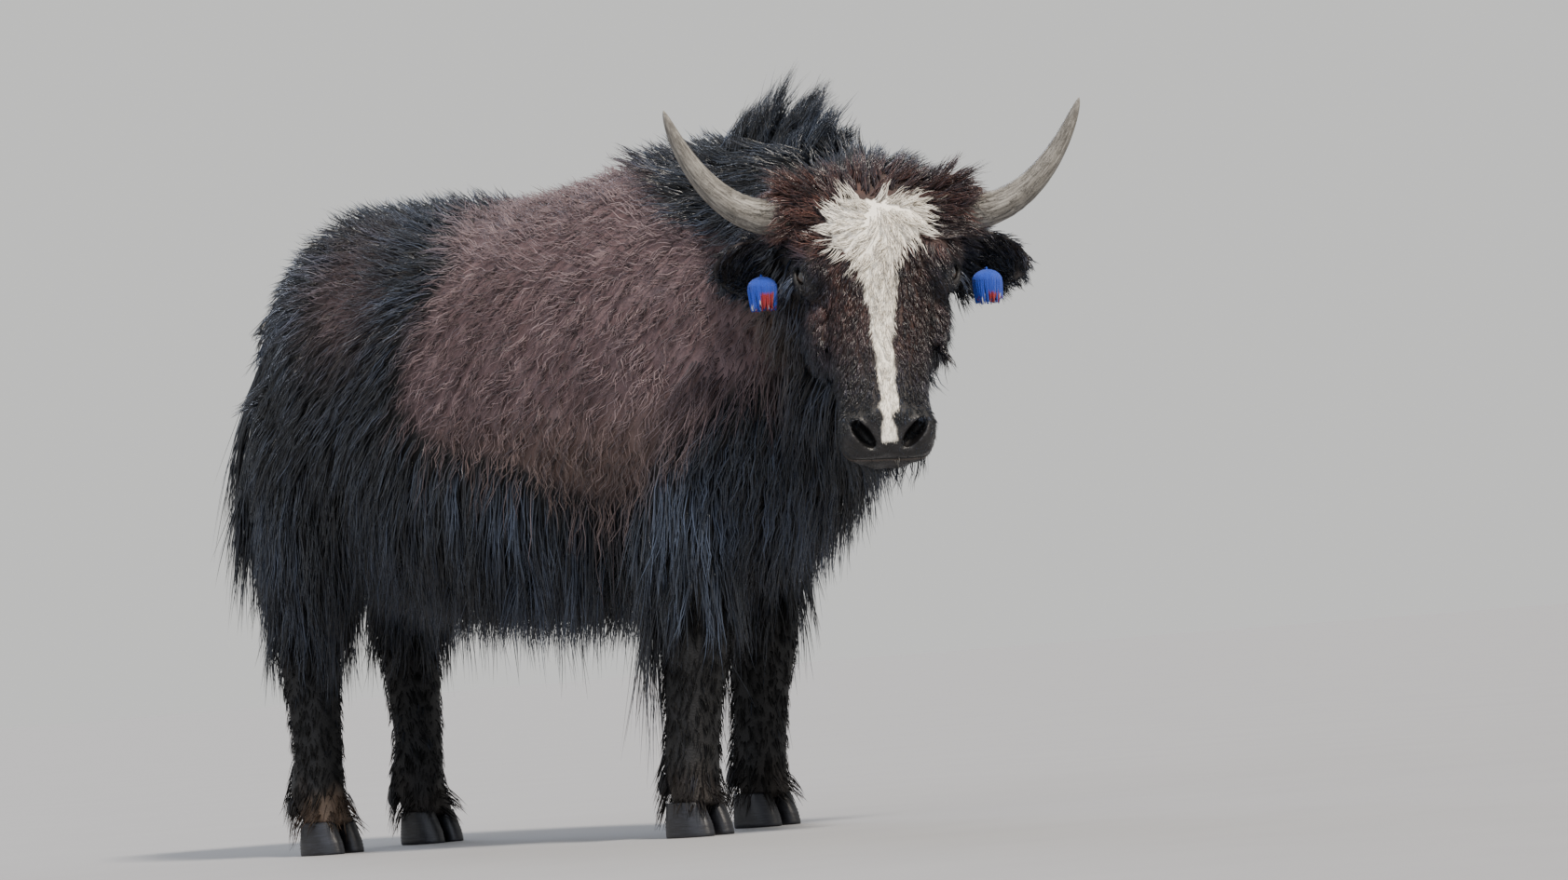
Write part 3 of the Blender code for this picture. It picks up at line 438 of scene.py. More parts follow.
bm = bmesh.new()
rings = []
for number, (place, half_width, half_height) in enumerate(NECK):
    along = Vector(NECK[min(number + 1, len(NECK) - 1)][0]) - Vector(NECK[max(number - 1, 0)][0])
    side = UP.cross(along).normalized()
    reach = half_height - SKIN_DEPTH
    up = along.normalized().cross(side)
    rings.append(add_ring(bm, here(place), side, up, half_width - SKIN_DEPTH, reach, reach, 2.2, 28))
loft(bm, rings)
limbs = [as_object("neck_flesh", bm)]

for name, foot in FEET.items():
    bm = bmesh.new()
    rings = []
    for forward, height, half_depth, half_width in FORE_LEG if name.startswith("front") else HIND_LEG:
        centre = here((foot[0] + forward, foot[1], height))
        depth = half_depth - LEG_DEPTH
        rings.append(add_ring(bm, centre, LEFT, FORWARD, half_width - LEG_DEPTH, depth, depth, 2.1, 20))
    loft(bm, rings)
    limbs.append(as_object("limb_" + name, bm))

bm = bmesh.new()
tube(bm, [here(place) for place in TAIL], TAIL_RADII, 16)
limbs.append(as_object("tail_flesh", bm))
boolean(body, limbs, "UNION")
melt(body, BODY_VOXEL, 8)
print("body skin", len(body.data.polygons), "faces")

# %% [markdown]
# The head gets the most care. Under its hair it is a long wedge with a broad flat brow. The skull is a
# loft through rings down the face. Brow, cheek bone, jaw muscle, nostril wings, lip pads and chin could
# be sculpted with a brush. Here they are ellipsoids pressed into the skull like lumps of clay, because
# each one can then be set by its own place and radii.

# %% Sizes of the head
HEAD = (
    # Down the face, front, throat, half width, and the power of the outline
    (-0.022, -0.045, -0.105, 0.056, 2.0),
    (0.005, -0.012, -0.150, 0.102, 2.2),
    (0.050, 0.004, -0.182, 0.122, 2.4),
    (0.100, 0.008, -0.202, 0.120, 2.4),
    (0.150, 0.004, -0.210, 0.108, 2.3),
    (0.200, -0.006, -0.204, 0.094, 2.3),
    (0.250, -0.013, -0.182, 0.080, 2.3),
    (0.300, -0.016, -0.155, 0.070, 2.3),
    (0.350, -0.015, -0.134, 0.065, 2.4),
    (0.385, -0.014, -0.122, 0.069, 2.4),
    (0.414, -0.018, -0.115, 0.074, 2.5),
    (0.437, -0.029, -0.108, 0.070, 2.6),
    (0.451, -0.044, -0.100, 0.058, 2.5),
)
# Place and radii of each mass, both as down, out and front
MASSES = (
    ("horn_boss", (0.051, 0.108, -0.046), (0.043, 0.058, 0.043)),
    ("brow", (0.132, 0.088, -0.034), (0.046, 0.028, 0.026)),
    ("cheek_bone", (0.196, 0.090, -0.078), (0.074, 0.017, 0.020)),
    ("jaw_muscle", (0.185, 0.066, -0.140), (0.098, 0.044, 0.062)),
    ("nostril_wing", (0.412, 0.048, -0.037), (0.034, 0.026, 0.025)),
    ("nose_pad", (0.396, 0.022, -0.019), (0.016, 0.015, 0.010)),
    ("upper_lip", (0.438, 0.030, -0.050), (0.019, 0.040, 0.017)),
    ("lower_lip", (0.437, 0.020, -0.087), (0.019, 0.038, 0.016)),
    ("chin", (0.424, 0.012, -0.103), (0.032, 0.034, 0.021)),
)
EYE_AT = (0.160, 0.104, -0.050)
EYE_RADIUS = 0.0185
ORBIT_RADII = (0.034, 0.0265, 0.0265)
SLIT_RADII = (0.021, 0.0115, 0.022)
SLIT_OUT = 0.013
LID_HALF_LENGTH = 0.0215
LID_HALF_HEIGHT = 0.0112
LID_THICKNESS = 0.0034
LID_STEPS = 28
NOSTRIL_AT = (0.427, 0.0395, -0.022)
NOSTRIL_RADII = (0.0285, 0.0112, 0.028)
MOUTH_AT = (0.395, 0.0, -0.080)
MOUTH_ALONG = (0.974, 0.0, 0.226)
MOUTH_RADII = (0.077, 0.094, 0.0036)
print("skull of", len(HEAD), "rings, and", len(MASSES), "masses on each side")

# %% [markdown]
# Eyes and nostrils sit askew on the wedge of the face. Each has three square directions of its own, in
# which its hollow, its rim or its lump is a plain ellipsoid or hoop. Half a head could be mirrored by a
# modifier instead, but the seam down the nose would show, so a side of 1 or -1 mirrors the directions.

# %% Tools for the head
def ellipsoid(name, centre, axes, radii):
    """A closed ellipsoid with its radii along three square axes."""
    bm = bmesh.new()
    bmesh.ops.create_uvsphere(bm, u_segments=28, v_segments=18, radius=1.0)
    turn = Matrix([[axis[row] for axis in axes] for row in range(3)]).to_4x4()
    matrix = Matrix.Translation(centre) @ turn @ Matrix.Diagonal((*radii, 1.0))
    bmesh.ops.transform(bm, verts=bm.verts[:], matrix=matrix)
    return as_object(name, bm)


def eye_axes(side):
    """The eye's directions: along its slit, up across it, and the way that it looks."""
    look = along_head(-0.10, side * 0.80, 0.58)
    slit = along_head(0.93, side * -0.20, 0.25)
    slit = (slit - look * slit.dot(look)).normalized()
    return slit, look.cross(slit), look


def nostril_axes(side):
    """The nostril's directions: along its slant, across it, and inwards."""
    slant = along_head(0.80, -side * 0.60, 0.0)
    inwards = along_head(-0.10, side * 0.40, 1.0)
    inwards = (inwards - slant * inwards.dot(slant)).normalized()
    return slant, inwards.cross(slant), inwards


def lid_rim(side):
    """A closed hoop that follows the edge of the lids over the eyeball."""
    slit, rise, look = eye_axes(side)
    centre = on_side(EYE_AT, side)
    places = []
    for step in range(LID_STEPS):
        angle = math.tau * step / LID_STEPS
        along, across = LID_HALF_LENGTH * math.cos(angle), LID_HALF_HEIGHT * math.sin(angle)
        depth = math.sqrt(max(0.0, (EYE_RADIUS + 0.0030) ** 2 - 0.62 * along**2 - across**2))
        places.append(centre + slit * along + rise * across + look * depth)
    bm = bmesh.new()
    rings = []
    for number, place in enumerate(places):
        along = (places[(number + 1) % LID_STEPS] - places[number - 1]).normalized()
        up = look - along * look.dot(along)
        rings.append(add_ring(bm, place, along.cross(up).normalized(), up.normalized(),
                              LID_THICKNESS, LID_THICKNESS, LID_THICKNESS, 2.0, 10))
    hoop(bm, rings)
    return as_object("lid", bm)


print("the left eye looks to", tuple(round(v, 2) for v in eye_axes(1)[2]))

# %% [markdown]
# The skull and its masses. Skull, lumps and ears stay separate shapes until the ears are made, because one
# Boolean of all of them is quicker and cleaner than one after each lump.

# %% Skull and its masses
bm = bmesh.new()
rings = []
for down, front, throat, half_width, power in HEAD:
    half_height = (front - throat) / 2
    centre = at_head(down, 0.0, (front + throat) / 2)
    rings.append(add_ring(bm, centre, HEAD_LEFT, FACE, half_width, half_height, half_height, power, 32))
loft(bm, rings)
head = as_object("head_flesh", bm)
lumps = []
for side, _ in SIDES:
    for name, place, radii in MASSES:
        lumps.append(ellipsoid(name, on_side(place, side), (NOSE, HEAD_LEFT, FACE), radii))
    lumps.append(ellipsoid("orbit", on_side(EYE_AT, side), eye_axes(side), ORBIT_RADII))
print("skull and", len(lumps), "lumps")

# %% [markdown]
# Ears. A yak's ear is a leaf of gristle rolled into a cup, which stands out below the horn and opens to
# the front. A solid ear could be hollowed out, but its rim would be uneven. So a flat grid is bent over
# the cup and given one thickness all over.

# %% Ears: a sheet bent into a leaf-shaped cup
HEAD_VOXEL = 0.0040
EAR_AT = (0.112, 0.100, -0.100)
EAR_LENGTH = 0.146
EAR_HALF_WIDTH = 0.041
EAR_THICKNESS = 0.0085


def ear_axes(side):
    """The ear's directions: out along it, across its cup, and the way that the cup opens."""
    out = along_head(0.05, side * 0.98, -0.15)
    opening = along_head(0.35, side * 0.10, 1.0)
    opening = (opening - out * opening.dot(out)).normalized()
    return out, out.cross(opening), opening


def ear_place(side, share, turn):
    """A point of the ear's back: share of its length, and the turn round the cup from rim to rim."""
    out, across, opening = ear_axes(side)
    root = on_side(EAR_AT, side)
    wide = EAR_HALF_WIDTH * (0.42 + 0.58 * math.sin(min(1.0, share * 1.5) * math.pi / 2))
    wide *= (1.0 - share**4.5) ** 0.8 + 0.06
    deep = wide * (0.85 - 0.45 * share)
    centre = root + out * (EAR_LENGTH * share) - opening * (0.012 * math.sin(share * math.pi))
    return centre + across * (wide * math.cos(turn)) - opening * (deep * math.sin(turn))


for side, word in SIDES:
    bm = bmesh.new()
    bmesh.ops.create_grid(bm, x_segments=18, y_segments=14, size=1.0)
    for vert in bm.verts:
        share, turn = (vert.co.x + 1) / 2, math.pi * (vert.co.y + 1) / 2
        vert.co = ear_place(side, share, turn)
    bmesh.ops.recalc_face_normals(bm, faces=bm.faces[:])
    bmesh.ops.solidify(bm, geom=bm.faces[:], thickness=EAR_THICKNESS)
    lumps.append(as_object("ear_flesh_" + word, bm))
boolean(head, lumps, "UNION")
melt(head, HEAD_VOXEL, 5)
print("head with ears", len(head.data.polygons), "faces")

# %% [markdown]
# Openings of the face. The nostrils are slanted commas, the lids leave a slit in front of each eye, and
# the mouth is a thin line. They could be pushed in with a brush, but ellipsoids that are cut away leave
# clean hollows, where the eyeball and the dark of the nose can sit. A rim of lid is laid round each eye,
# and a last fine remesh rounds the cut edges, as flesh is rounded.

# %% Nostrils, lids and mouth
LID_VOXEL = 0.0033
cutters = []
for side, _ in SIDES:
    cutters.append(ellipsoid("nostril", on_side(NOSTRIL_AT, side), nostril_axes(side), NOSTRIL_RADII))
    axes = eye_axes(side)
    cutters.append(ellipsoid("slit", on_side(EYE_AT, side) + axes[2] * SLIT_OUT, axes, SLIT_RADII))
boolean(head, cutters, "DIFFERENCE")
boolean(head, [lid_rim(side) for side, _ in SIDES], "UNION")
melt(head, LID_VOXEL, 2)
# The mouth is one flat disc of a cut, too thin for the remesh, that runs out of the flesh all round
mouth_along = along_head(*MOUTH_ALONG)
mouth_axes = (mouth_along, HEAD_LEFT, mouth_along.cross(HEAD_LEFT))
boolean(head, [ellipsoid("mouth", at_head(*MOUTH_AT), mouth_axes, MOUTH_RADII)], "DIFFERENCE")
head_tree = BVHTree.FromPolygons([vert.co for vert in head.data.vertices],
                                 [face.vertices[:] for face in head.data.polygons])
print("head skin", len(head.data.polygons), "faces")

# %% [markdown]
# One skin. Head and body meet inside the neck, and they could stay two pieces, but then the hair would
# show a parting where they cross. A Boolean joins them. It leaves small scraps inside, so the shells are
# told apart by walking from face to face, and only the largest is kept.

# %% One skin
boolean(body, [head], "UNION")
bm = bmesh.new()
bm.from_mesh(body.data)
left = set(bm.faces)
shells = []
while left:
    shell, edge = set(), [left.pop()]
    while edge:
        face = edge.pop()
        shell.add(face)
        near = {other for side in face.edges for other in side.link_faces} & left
        left -= near
        edge.extend(near)
    shells.append(shell)
shells.sort(key=len)
bmesh.ops.delete(bm, geom=[face for shell in shells[:-1] for face in shell], context="FACES")
bmesh.ops.triangulate(bm, faces=bm.faces[:])
bm.to_mesh(body.data)
bm.free()
skin = body
skin.name = skin.data.name = "skin"
skin.data.shade_smooth()
print("skin", len(skin.data.polygons), "triangles,", len(shells), "shells before the scraps went")

# %% [markdown]
# The skin as numbers. Hair is grown with arrays, so the corners, faces and normals of the skin are read
# once. Each point is told apart as trunk, head, ear, tail or leg, and an unwrap of the skin gives each
# root of hair a place of its own for the baked colours.

# %% Unwrap the skin and read it
bpy.context.view_layer.objects.active = skin
for obj in bpy.context.selected_objects:
    obj.select_set(False)
skin.select_set(True)
bpy.ops.object.mode_set(mode="EDIT")
bpy.ops.mesh.select_all(action="SELECT")
bpy.ops.uv.smart_project(angle_limit=math.radians(72), island_margin=0.001)
bpy.ops.object.mode_set(mode="OBJECT")


def read(items, name, width, kind=np.float64):
    """All values of one kind from a mesh, as an array with a row for each point, corner or face."""
    values = np.empty(len(items) * width, kind)
    items.foreach_get(name, values)
    return values.reshape(-1, width) if width > 1 else values


points = read(skin.data.vertices, "co", 3)
point_normals = read(skin.data.vertices, "normal", 3)
corners = read(skin.data.loops, "vertex_index", 1, np.int32).reshape(-1, 3)
unwrapped = read(skin.data.uv_layers.active.data, "uv", 2).reshape(-1, 3, 2)
spans = np.cross(points[corners[:, 1]] - points[corners[:, 0]], points[corners[:, 2]] - points[corners[:, 0]])
face_areas = np.linalg.norm(spans, axis=1) / 2
skin_tree = BVHTree.FromPolygons(points.tolist(), corners.tolist())

TRUNK_PART, HEAD_PART, EAR_PART, TAIL_PART, LEG_PART = range(5)
EAR_BEYOND = 0.128
LEG_BELOW = 0.400
TAIL_BEHIND = -0.700
HEAD_GAP = 0.0025


def parts_of(places):
    """Which part of the animal each place on the skin belongs to."""
    part = np.full(len(places), TRUNK_PART)
    q = from_centre(places)
    part[q[:, 2] < LEG_BELOW] = LEG_PART
    part[q[:, 0] < TAIL_BEHIND] = TAIL_PART
    down, out, front = in_head(places).T
    near_head = (down > -0.05) & (down < 0.50) & (abs(out) < 0.30) & (front > -0.30) & (q[:, 2] > 0.45)
    for index in np.flatnonzero(near_head):
        if head_tree.find_nearest(Vector(places[index]))[3] < HEAD_GAP:
            part[index] = EAR_PART if abs(out[index]) > EAR_BEYOND else HEAD_PART
    return part


part_of_point = parts_of(points)
print("points by part", np.bincount(part_of_point), "skin area", round(face_areas.sum(), 2), "m2")

# %% [markdown]
# The markings. The face has a white patch that narrows to a blaze, the hair round it is reddish brown,
# and the wool of the back is bleached brown above a black skirt. Skin and hair must agree, so one set of
# functions gives each place its share of white, brown, red and tan, and both materials read them. A
# painted picture would do the same, but shares by place need no picture and hold at any size.

# %% Smooth fields over the skin
def smooth_step(values, low, high):
    """Rises smoothly from 0 at low to 1 at high, or falls where high is below low."""
    share = np.clip((values - low) / (high - low), 0.0, 1.0)
    return share * share * (3.0 - 2.0 * share)


def mound(first, second, middle, reach):
    """A smooth mound over two measures: 1 at its middle, and nearly 0 at twice its reach."""
    return np.exp(-(((first - middle[0]) / reach[0]) ** 2 + ((second - middle[1]) / reach[1]) ** 2))


def mixed(first, second, share):
    """Goes over from one value to another by a share."""
    return first * (1 - share) + second * share


def ripple(places, wavelength, seed):
    """A smooth field between about -1 and 1, summed from waves in random directions."""
    dice = np.random.default_rng(seed)
    total = np.zeros(len(places))
    for _ in range(5):
        way = dice.normal(size=3)
        way *= dice.uniform(0.7, 1.4) * math.tau / wavelength / np.linalg.norm(way)
        total += np.sin(places @ way + dice.uniform(0, math.tau))
    return total / 2.6


def near_features(places):
    """Distance of each place from the nearest nostril, the nearest eye and the line of the mouth."""
    down, out, front = in_head(places).T
    folded = np.stack([down, abs(out), front], axis=1)
    nose = np.linalg.norm(folded - np.array(NOSTRIL_AT), axis=1)
    eye = np.linalg.norm(folded - np.array(EYE_AT), axis=1)
    rise = mouth_axes[2] * math.copysign(1.0, mouth_axes[2].dot(FACE))
    return nose, eye, (places - np.array(at_head(*MOUTH_AT))) @ np.array(rise)


print("nearest skin to an eye's middle", round(near_features(points)[1].min() * 1000, 1), "mm")

# %% [markdown]
# Outlines of the markings. The white of the face is bounded by a left and a right edge at each distance
# down it, and the brown wool by a front and a rear edge at each height. Ripples make the edges ragged.

# %% Shares of each colour
WHITE_DOWN = (0.035, 0.050, 0.075, 0.100, 0.125, 0.150, 0.175, 0.210, 0.280, 0.350, 0.388, 0.400, 0.432)
WHITE_LEFT = (-0.030, -0.050, -0.072, -0.076, -0.060, -0.038, -0.026, -0.022, -0.015, -0.013, -0.013,
              -0.007, -0.012)
WHITE_RIGHT = (0.045, 0.070, 0.082, 0.070, 0.052, 0.032, 0.026, 0.021, 0.013, 0.018, 0.017, 0.007, 0.014)
WHITE_TOP = 0.052
WHITE_END = 0.437
WOOL_HEIGHT = (0.540, 0.580, 0.620, 0.680, 0.740, 0.850, 0.950, 1.050, 1.120)
WOOL_REAR = (0.270, 0.200, 0.100, -0.110, -0.175, -0.130, -0.080, -0.130, -0.160)
WOOL_FRONT = (0.290, 0.330, 0.370, 0.520, 0.640, 0.620, 0.520, 0.320, 0.240)
# Shares of tan on the right hind pastern, as on the living animal, and on the others
PASTERN_TAN = (0.75, 0.12)


def marks_of(places, part):
    """Shares of white, wool brown, head red and tan at each place."""
    q = from_centre(places)
    down, out, front = in_head(places).T
    on_head = np.isin(part, (HEAD_PART, EAR_PART)).astype(float)
    edge = 0.007 * ripple(places, 0.030, 3) + 0.004 * ripple(places, 0.011, 4)
    inside = np.minimum(out - np.interp(down, WHITE_DOWN, WHITE_LEFT),
                        np.interp(down, WHITE_DOWN, WHITE_RIGHT) - out)
    inside = np.minimum(inside, np.minimum(down - WHITE_TOP, WHITE_END - down))
    white = smooth_step(inside + edge * np.clip((0.30 - down) * 6, 0.25, 1.0), -0.001, 0.003)
    white *= on_head * (front > -0.075)
    x, y, z = q.T
    inside = np.minimum(x - np.interp(z, WOOL_HEIGHT, WOOL_REAR), np.interp(z, WOOL_HEIGHT, WOOL_FRONT) - x)
    inside = np.minimum(inside, (z - 0.545) * 1.2) + 0.030 * ripple(places, 0.16, 5)
    wool = smooth_step(inside, -0.03, 0.05) * (1 - on_head) * (z > 0.5)
    rump = mound(x, z, (-0.33, 0.93), (0.085, 0.085)) * (abs(y) > 0.08)
    wool = np.maximum(wool, 0.75 * rump + 0.10 * ripple(places, 0.09, 6) * rump)
    red = on_head * (1 - smooth_step(down, 0.20, 0.42)) * smooth_step(front, -0.16, -0.02)
    red *= smooth_step(near_features(places)[1], 0.022, 0.055) * smooth_step(down, -0.020, 0.022)
    tan = smooth_step(0.13 - z + 0.02 * ripple(places, 0.06, 7), 0.0, 0.06)
    tan *= np.where((x < 0) & (y < 0), *PASTERN_TAN)
    # The tan at the throat is partly the hair's own tan and partly a painted highlight
    throat = mound(x, z, (0.63, 0.80), (0.06, 0.07)) * (1 - on_head)
    low_wool = wool * smooth_step(z, 0.74, 0.60)
    tan = np.maximum((part == LEG_PART) * tan, np.maximum(0.6 * throat, 0.55 * low_wool))
    return np.clip(np.stack([white, wool, red * (1 - white), tan], axis=1), 0, 1)


skin_marks = marks_of(points, part_of_point)
print("white skin", int((skin_marks[:, 0] > 0.5).sum()), "points")

# %% [markdown]
# Bare skin. The rims of the nostrils, the lips and the lids carry no hair and show black leather, and the
# lower lip is brown. A second mesh for the muzzle would need a seam. Here each place is told by how far it
# is from the nearest opening, and that share is kept on the mesh, so that leather fades into hide.

# %% Bare leather of nose, lips and lids
# How far the painted shade of the nostrils and of the mouth's line reaches, in radii of their cuts
NOSTRIL_DARK = 1.12
MOUTH_DARK = 1.05
STORED = {1: ("FLOAT", "value"), 3: ("FLOAT_VECTOR", "vector"), 4: ("FLOAT_COLOR", "color")}


def store(mesh, **kept):
    """Keeps one, three or four numbers at each point of a mesh, for its material to read by name."""
    for name, values in kept.items():
        values = np.ascontiguousarray(values, np.float32)
        width = values.size // len(values)
        layers = mesh.color_attributes if width == 4 else mesh.attributes
        kind, slot = STORED[width]
        layers.new(name=name, type=kind, domain="POINT").data.foreach_set(slot, values.ravel())


def bareness(places, part):
    """How bare the skin is: nostril rims, lips and lids, but not the white stripe between the nostrils."""
    down, out, _ = in_head(places).T
    nose, eye, _ = near_features(places)
    lips = smooth_step(down - 0.10 * abs(out), 0.412, 0.428) * smooth_step(down, 0.40, 0.43)
    rims = 1 - smooth_step(nose, 0.022, 0.028)
    lids = 1 - smooth_step(eye, EYE_RADIUS + 0.002, EYE_RADIUS + 0.007)
    white = marks_of(places, part)[:, 0]
    return (part == HEAD_PART) * np.maximum(np.maximum(lips, rims) * (1 - white), lids)


bare = bareness(points, part_of_point)
above_mouth = near_features(points)[2]
on_muzzle = (part_of_point == HEAD_PART) & (in_head(points)[:, 0] > 0.36)
lip = on_muzzle * smooth_step(above_mouth, -0.011, -0.006) * (above_mouth < 0.0)
in_nostril = np.zeros(len(points))
for side, _ in SIDES:
    away = (points - np.array(on_side(NOSTRIL_AT, side))) @ np.array(nostril_axes(side)).T
    in_nostril = np.maximum(in_nostril, np.linalg.norm(away / np.array(NOSTRIL_RADII), axis=1) < NOSTRIL_DARK)
# Deep in each nostril, and along the line of the mouth, painted shade makes these hollows nearly black
deep = smooth_step(-in_head(points)[:, 2], 0.022, 0.030)
hollow = np.maximum(in_nostril * deep, on_muzzle * (abs(above_mouth) < MOUTH_RADII[2] * MOUTH_DARK))
store(skin.data, marks=skin_marks, bare=bare, lip=lip, hollow=hollow)
print("bare leather", int((bare > 0.5).sum()), "points")

# %% [markdown]
# Hide. A yak's hide is dark and matt under its hair. The leather of muzzle and lids is black, and shines a
# little because it is moist, and its grain is a net of pores. The hide could be left plain, as the coat
# hides most of it, but it shows wherever strands part, so it takes the coat's own colours in shade.

# %% Skin material
# Hair and hide by share: black runs up to a bluish grey, which is a painted reflection of the sky in its
# gloss; sun-bleached wool is dull brown, and head hair is red-brown
COAT_COLOURS = {
    "black": ((0.0, "#020203"), (0.40, "#07080c"), (1.0, "#3c4659")),
    "wool": ((0.0, "#362322"), (0.5, "#574345"), (1.0, "#877374")),
    "red": ((0.0, "#140c0b"), (0.5, "#2e1c18"), (1.0, "#5c3a2f")),
    "tan": ((0.0, "#2e241d"), (1.0, "#6a5645")),
    "white": ((0.0, "#d9d0c0"), (0.5, "#f9f3e6"), (1.0, "#fffaf0")),
}
ROOT_SHADE = ((0.0, "#9c9c9c"), (0.40, "#ffffff"))


def coat_colour(tree, along=None, vary=None):
    """Mixes the coat's colours by the shares kept on the mesh."""
    marks = add_node(tree, "Attribute", {"attribute_name": "marks"}, out=None).outputs
    shares = add_node(tree, "SeparateColor", links={"Color": marks["Color"]}, out=None).outputs
    patch = shaded = vary
    if vary is None:
        # Clouds of 45 mm. Black skin between strands lies in their shade, so it keeps to its ramp's dark end
        place = add_node(tree, "TexCoord", out="Object")
        patch = add_node(tree, "TexNoise", links={"Vector": place, "Scale": 22.0, **CLOUDY})
        shaded = add_node(tree, "Math", {"operation": "MULTIPLY"}, {0: patch, 1: 0.45})
    colour = add_node(tree, "ValToRGB", {"stops": COAT_COLOURS["black"]}, {"Fac": shaded})
    for name, share in (("wool", shares["Green"]), ("red", shares["Blue"]), ("tan", marks["Alpha"]),
                        ("white", shares["Red"])):
        other = add_node(tree, "ValToRGB", {"stops": COAT_COLOURS[name]}, {"Fac": patch})
        colour = add_node(tree, "Mix", MIX, {0: share, 6: colour, 7: other}, out=2)
    if along is None:
        return colour
    rooted = add_node(tree, "ValToRGB", {"stops": ROOT_SHADE}, {"Fac": along})
    return add_node(tree, "Mix", MULTIPLY, {0: 1.0, 6: colour, 7: rooted}, out=2)


# Hide under hair is matt, and moist leather on nose and lids is smoother. Pores are 3 mm apart on the real
# muzzle, and so is the grain here; the finer clouds of 4 mm vary its black
skin_mat, tree, shader = new_material("yak_hide_under_short_hair")
place = add_node(tree, "TexCoord", out="Object")
leather = add_node(tree, "TexNoise", links={"Vector": place, "Scale": 260.0, "Detail": 6.0, "Roughness": 0.7})
muzzle = add_node(tree, "ValToRGB", {"stops": ((0.30, "#0b0a0c"), (0.60, "#171517"), (0.80, "#262324"))},
                  {"Fac": leather})
lips = add_node(tree, "ValToRGB", {"stops": ((0.30, "#281d16"), (0.75, "#4a392c"))}, {"Fac": leather})
colour = coat_colour(tree)
# The hollow colour is painted shade, nearly black, in the nostrils and along the mouth
for name, other in (("bare", muzzle), ("lip", lips), ("hollow", "#060506")):
    share = add_node(tree, "Attribute", {"attribute_name": name}, out="Fac")
    colour = add_node(tree, "Mix", MIX, {0: share, 6: colour, 7: other}, out=2)
tree.links.new(colour, shader.inputs["Base Color"])
moist = add_node(tree, "Attribute", {"attribute_name": "bare"}, out="Fac")
gloss = add_node(tree, "MapRange", links={"Value": moist, "To Min": 0.70, "To Max": 0.46})
tree.links.new(gloss, shader.inputs["Roughness"])
grain = add_node(tree, "TexVoronoi", links={"Vector": place, "Scale": 330.0}, out="Distance")
relief = add_node(tree, "Bump", links={"Height": grain, "Strength": 0.5, "Distance": 0.0012})
tree.links.new(relief, shader.inputs["Normal"])
skin.data.materials.clear()
skin.data.materials.append(skin_mat)
print("hide has", len(tree.nodes), "nodes")

# %% [markdown]
# Hair. Guard hair is a smooth rod of horn, so black hair throws a bluish gloss along its length, while
# wool bleached by the sun is fine, crimped and dull. Each strand keeps how far along it a point is and
# how light the strand is, and a Hair shader would read the same. A plain surface shader is used instead,
# because it can be baked and exported.

# %% Hair materials
WOOL_ROUGHNESS = 0.62


def hair_material(name, shine, sheen, roughness):
    """Hair coloured by what its strands keep. Black and red hair is glossy, bleached wool is dull."""
    material, tree, shader = new_material(name)
    along, vary = [add_node(tree, "Attribute", {"attribute_name": kept}, out="Fac")
                   for kept in ("along", "vary")]
    tree.links.new(coat_colour(tree, along, vary), shader.inputs["Base Color"])
    shader.inputs["Specular IOR Level"].default_value = shine
    shader.inputs["Sheen Weight"].default_value = sheen
    shader.inputs["Sheen Tint"].default_value = linear("#9fb4d8")
    marks = add_node(tree, "Attribute", {"attribute_name": "marks"}, out="Color")
    wool = add_node(tree, "SeparateColor", links={"Color": marks}, out="Green")
    dull = add_node(tree, "MapRange", links={"Value": wool, "To Min": roughness, "To Max": WOOL_ROUGHNESS})
    tree.links.new(dull, shader.inputs["Roughness"])
    return material


# Long greasy guard hair, which gives the skirt its gloss
hair_mat = hair_material("long_yak_hair", 0.68, 0.12, 0.29)
# The hair of the legs is short and dusty, so it shines far less than the skirt above it
leg_hair_mat = hair_material("short_leg_hair", 0.22, 0.0, 0.48)

# %% [markdown]
# How hair grows. Blender has hair curves and particles for this, but the part needs solid mesh strands
# that export, each rooted at a known place of the skin. So a few thousand guide hairs are grown step by
# step: each leaves the skin with some lift, sinks under its own weight and is pushed back out wherever it
# would enter the body.

# %% Roots and guides
RNG = np.random.default_rng(20)
GUIDE_STEPS = 7
NEAR_SKIN = 0.06
DROOP_STEP = 0.02
GUIDE_ABOVE_FLOOR = 0.012


def scatter(faces, density):
    """Roots spread over some faces, with a number per square metre for each."""
    weights = face_areas[faces] * density
    total = int(weights.sum())
    chosen = faces[np.searchsorted(np.cumsum(weights) / weights.sum(), np.sort(RNG.random(total)))]
    mix = RNG.random((total, 2))
    mix[mix.sum(axis=1) > 1] = 1 - mix[mix.sum(axis=1) > 1]
    mix = np.column_stack([1 - mix.sum(axis=1), mix])
    trio = corners[chosen]
    root = np.einsum("nk,nkd->nd", mix, points[trio])
    normal = np.einsum("nk,nkd->nd", mix, point_normals[trio])
    normal /= np.linalg.norm(normal, axis=1)[:, None]
    uv = np.einsum("nk,nkd->nd", mix, unwrapped[chosen])
    return {"root": root, "normal": normal, "uv": uv, "part": part_of_point[trio[:, 0]]}


def unit(vectors):
    """Vectors of length one."""
    return vectors / np.maximum(np.linalg.norm(vectors, axis=-1, keepdims=True), 1e-9)


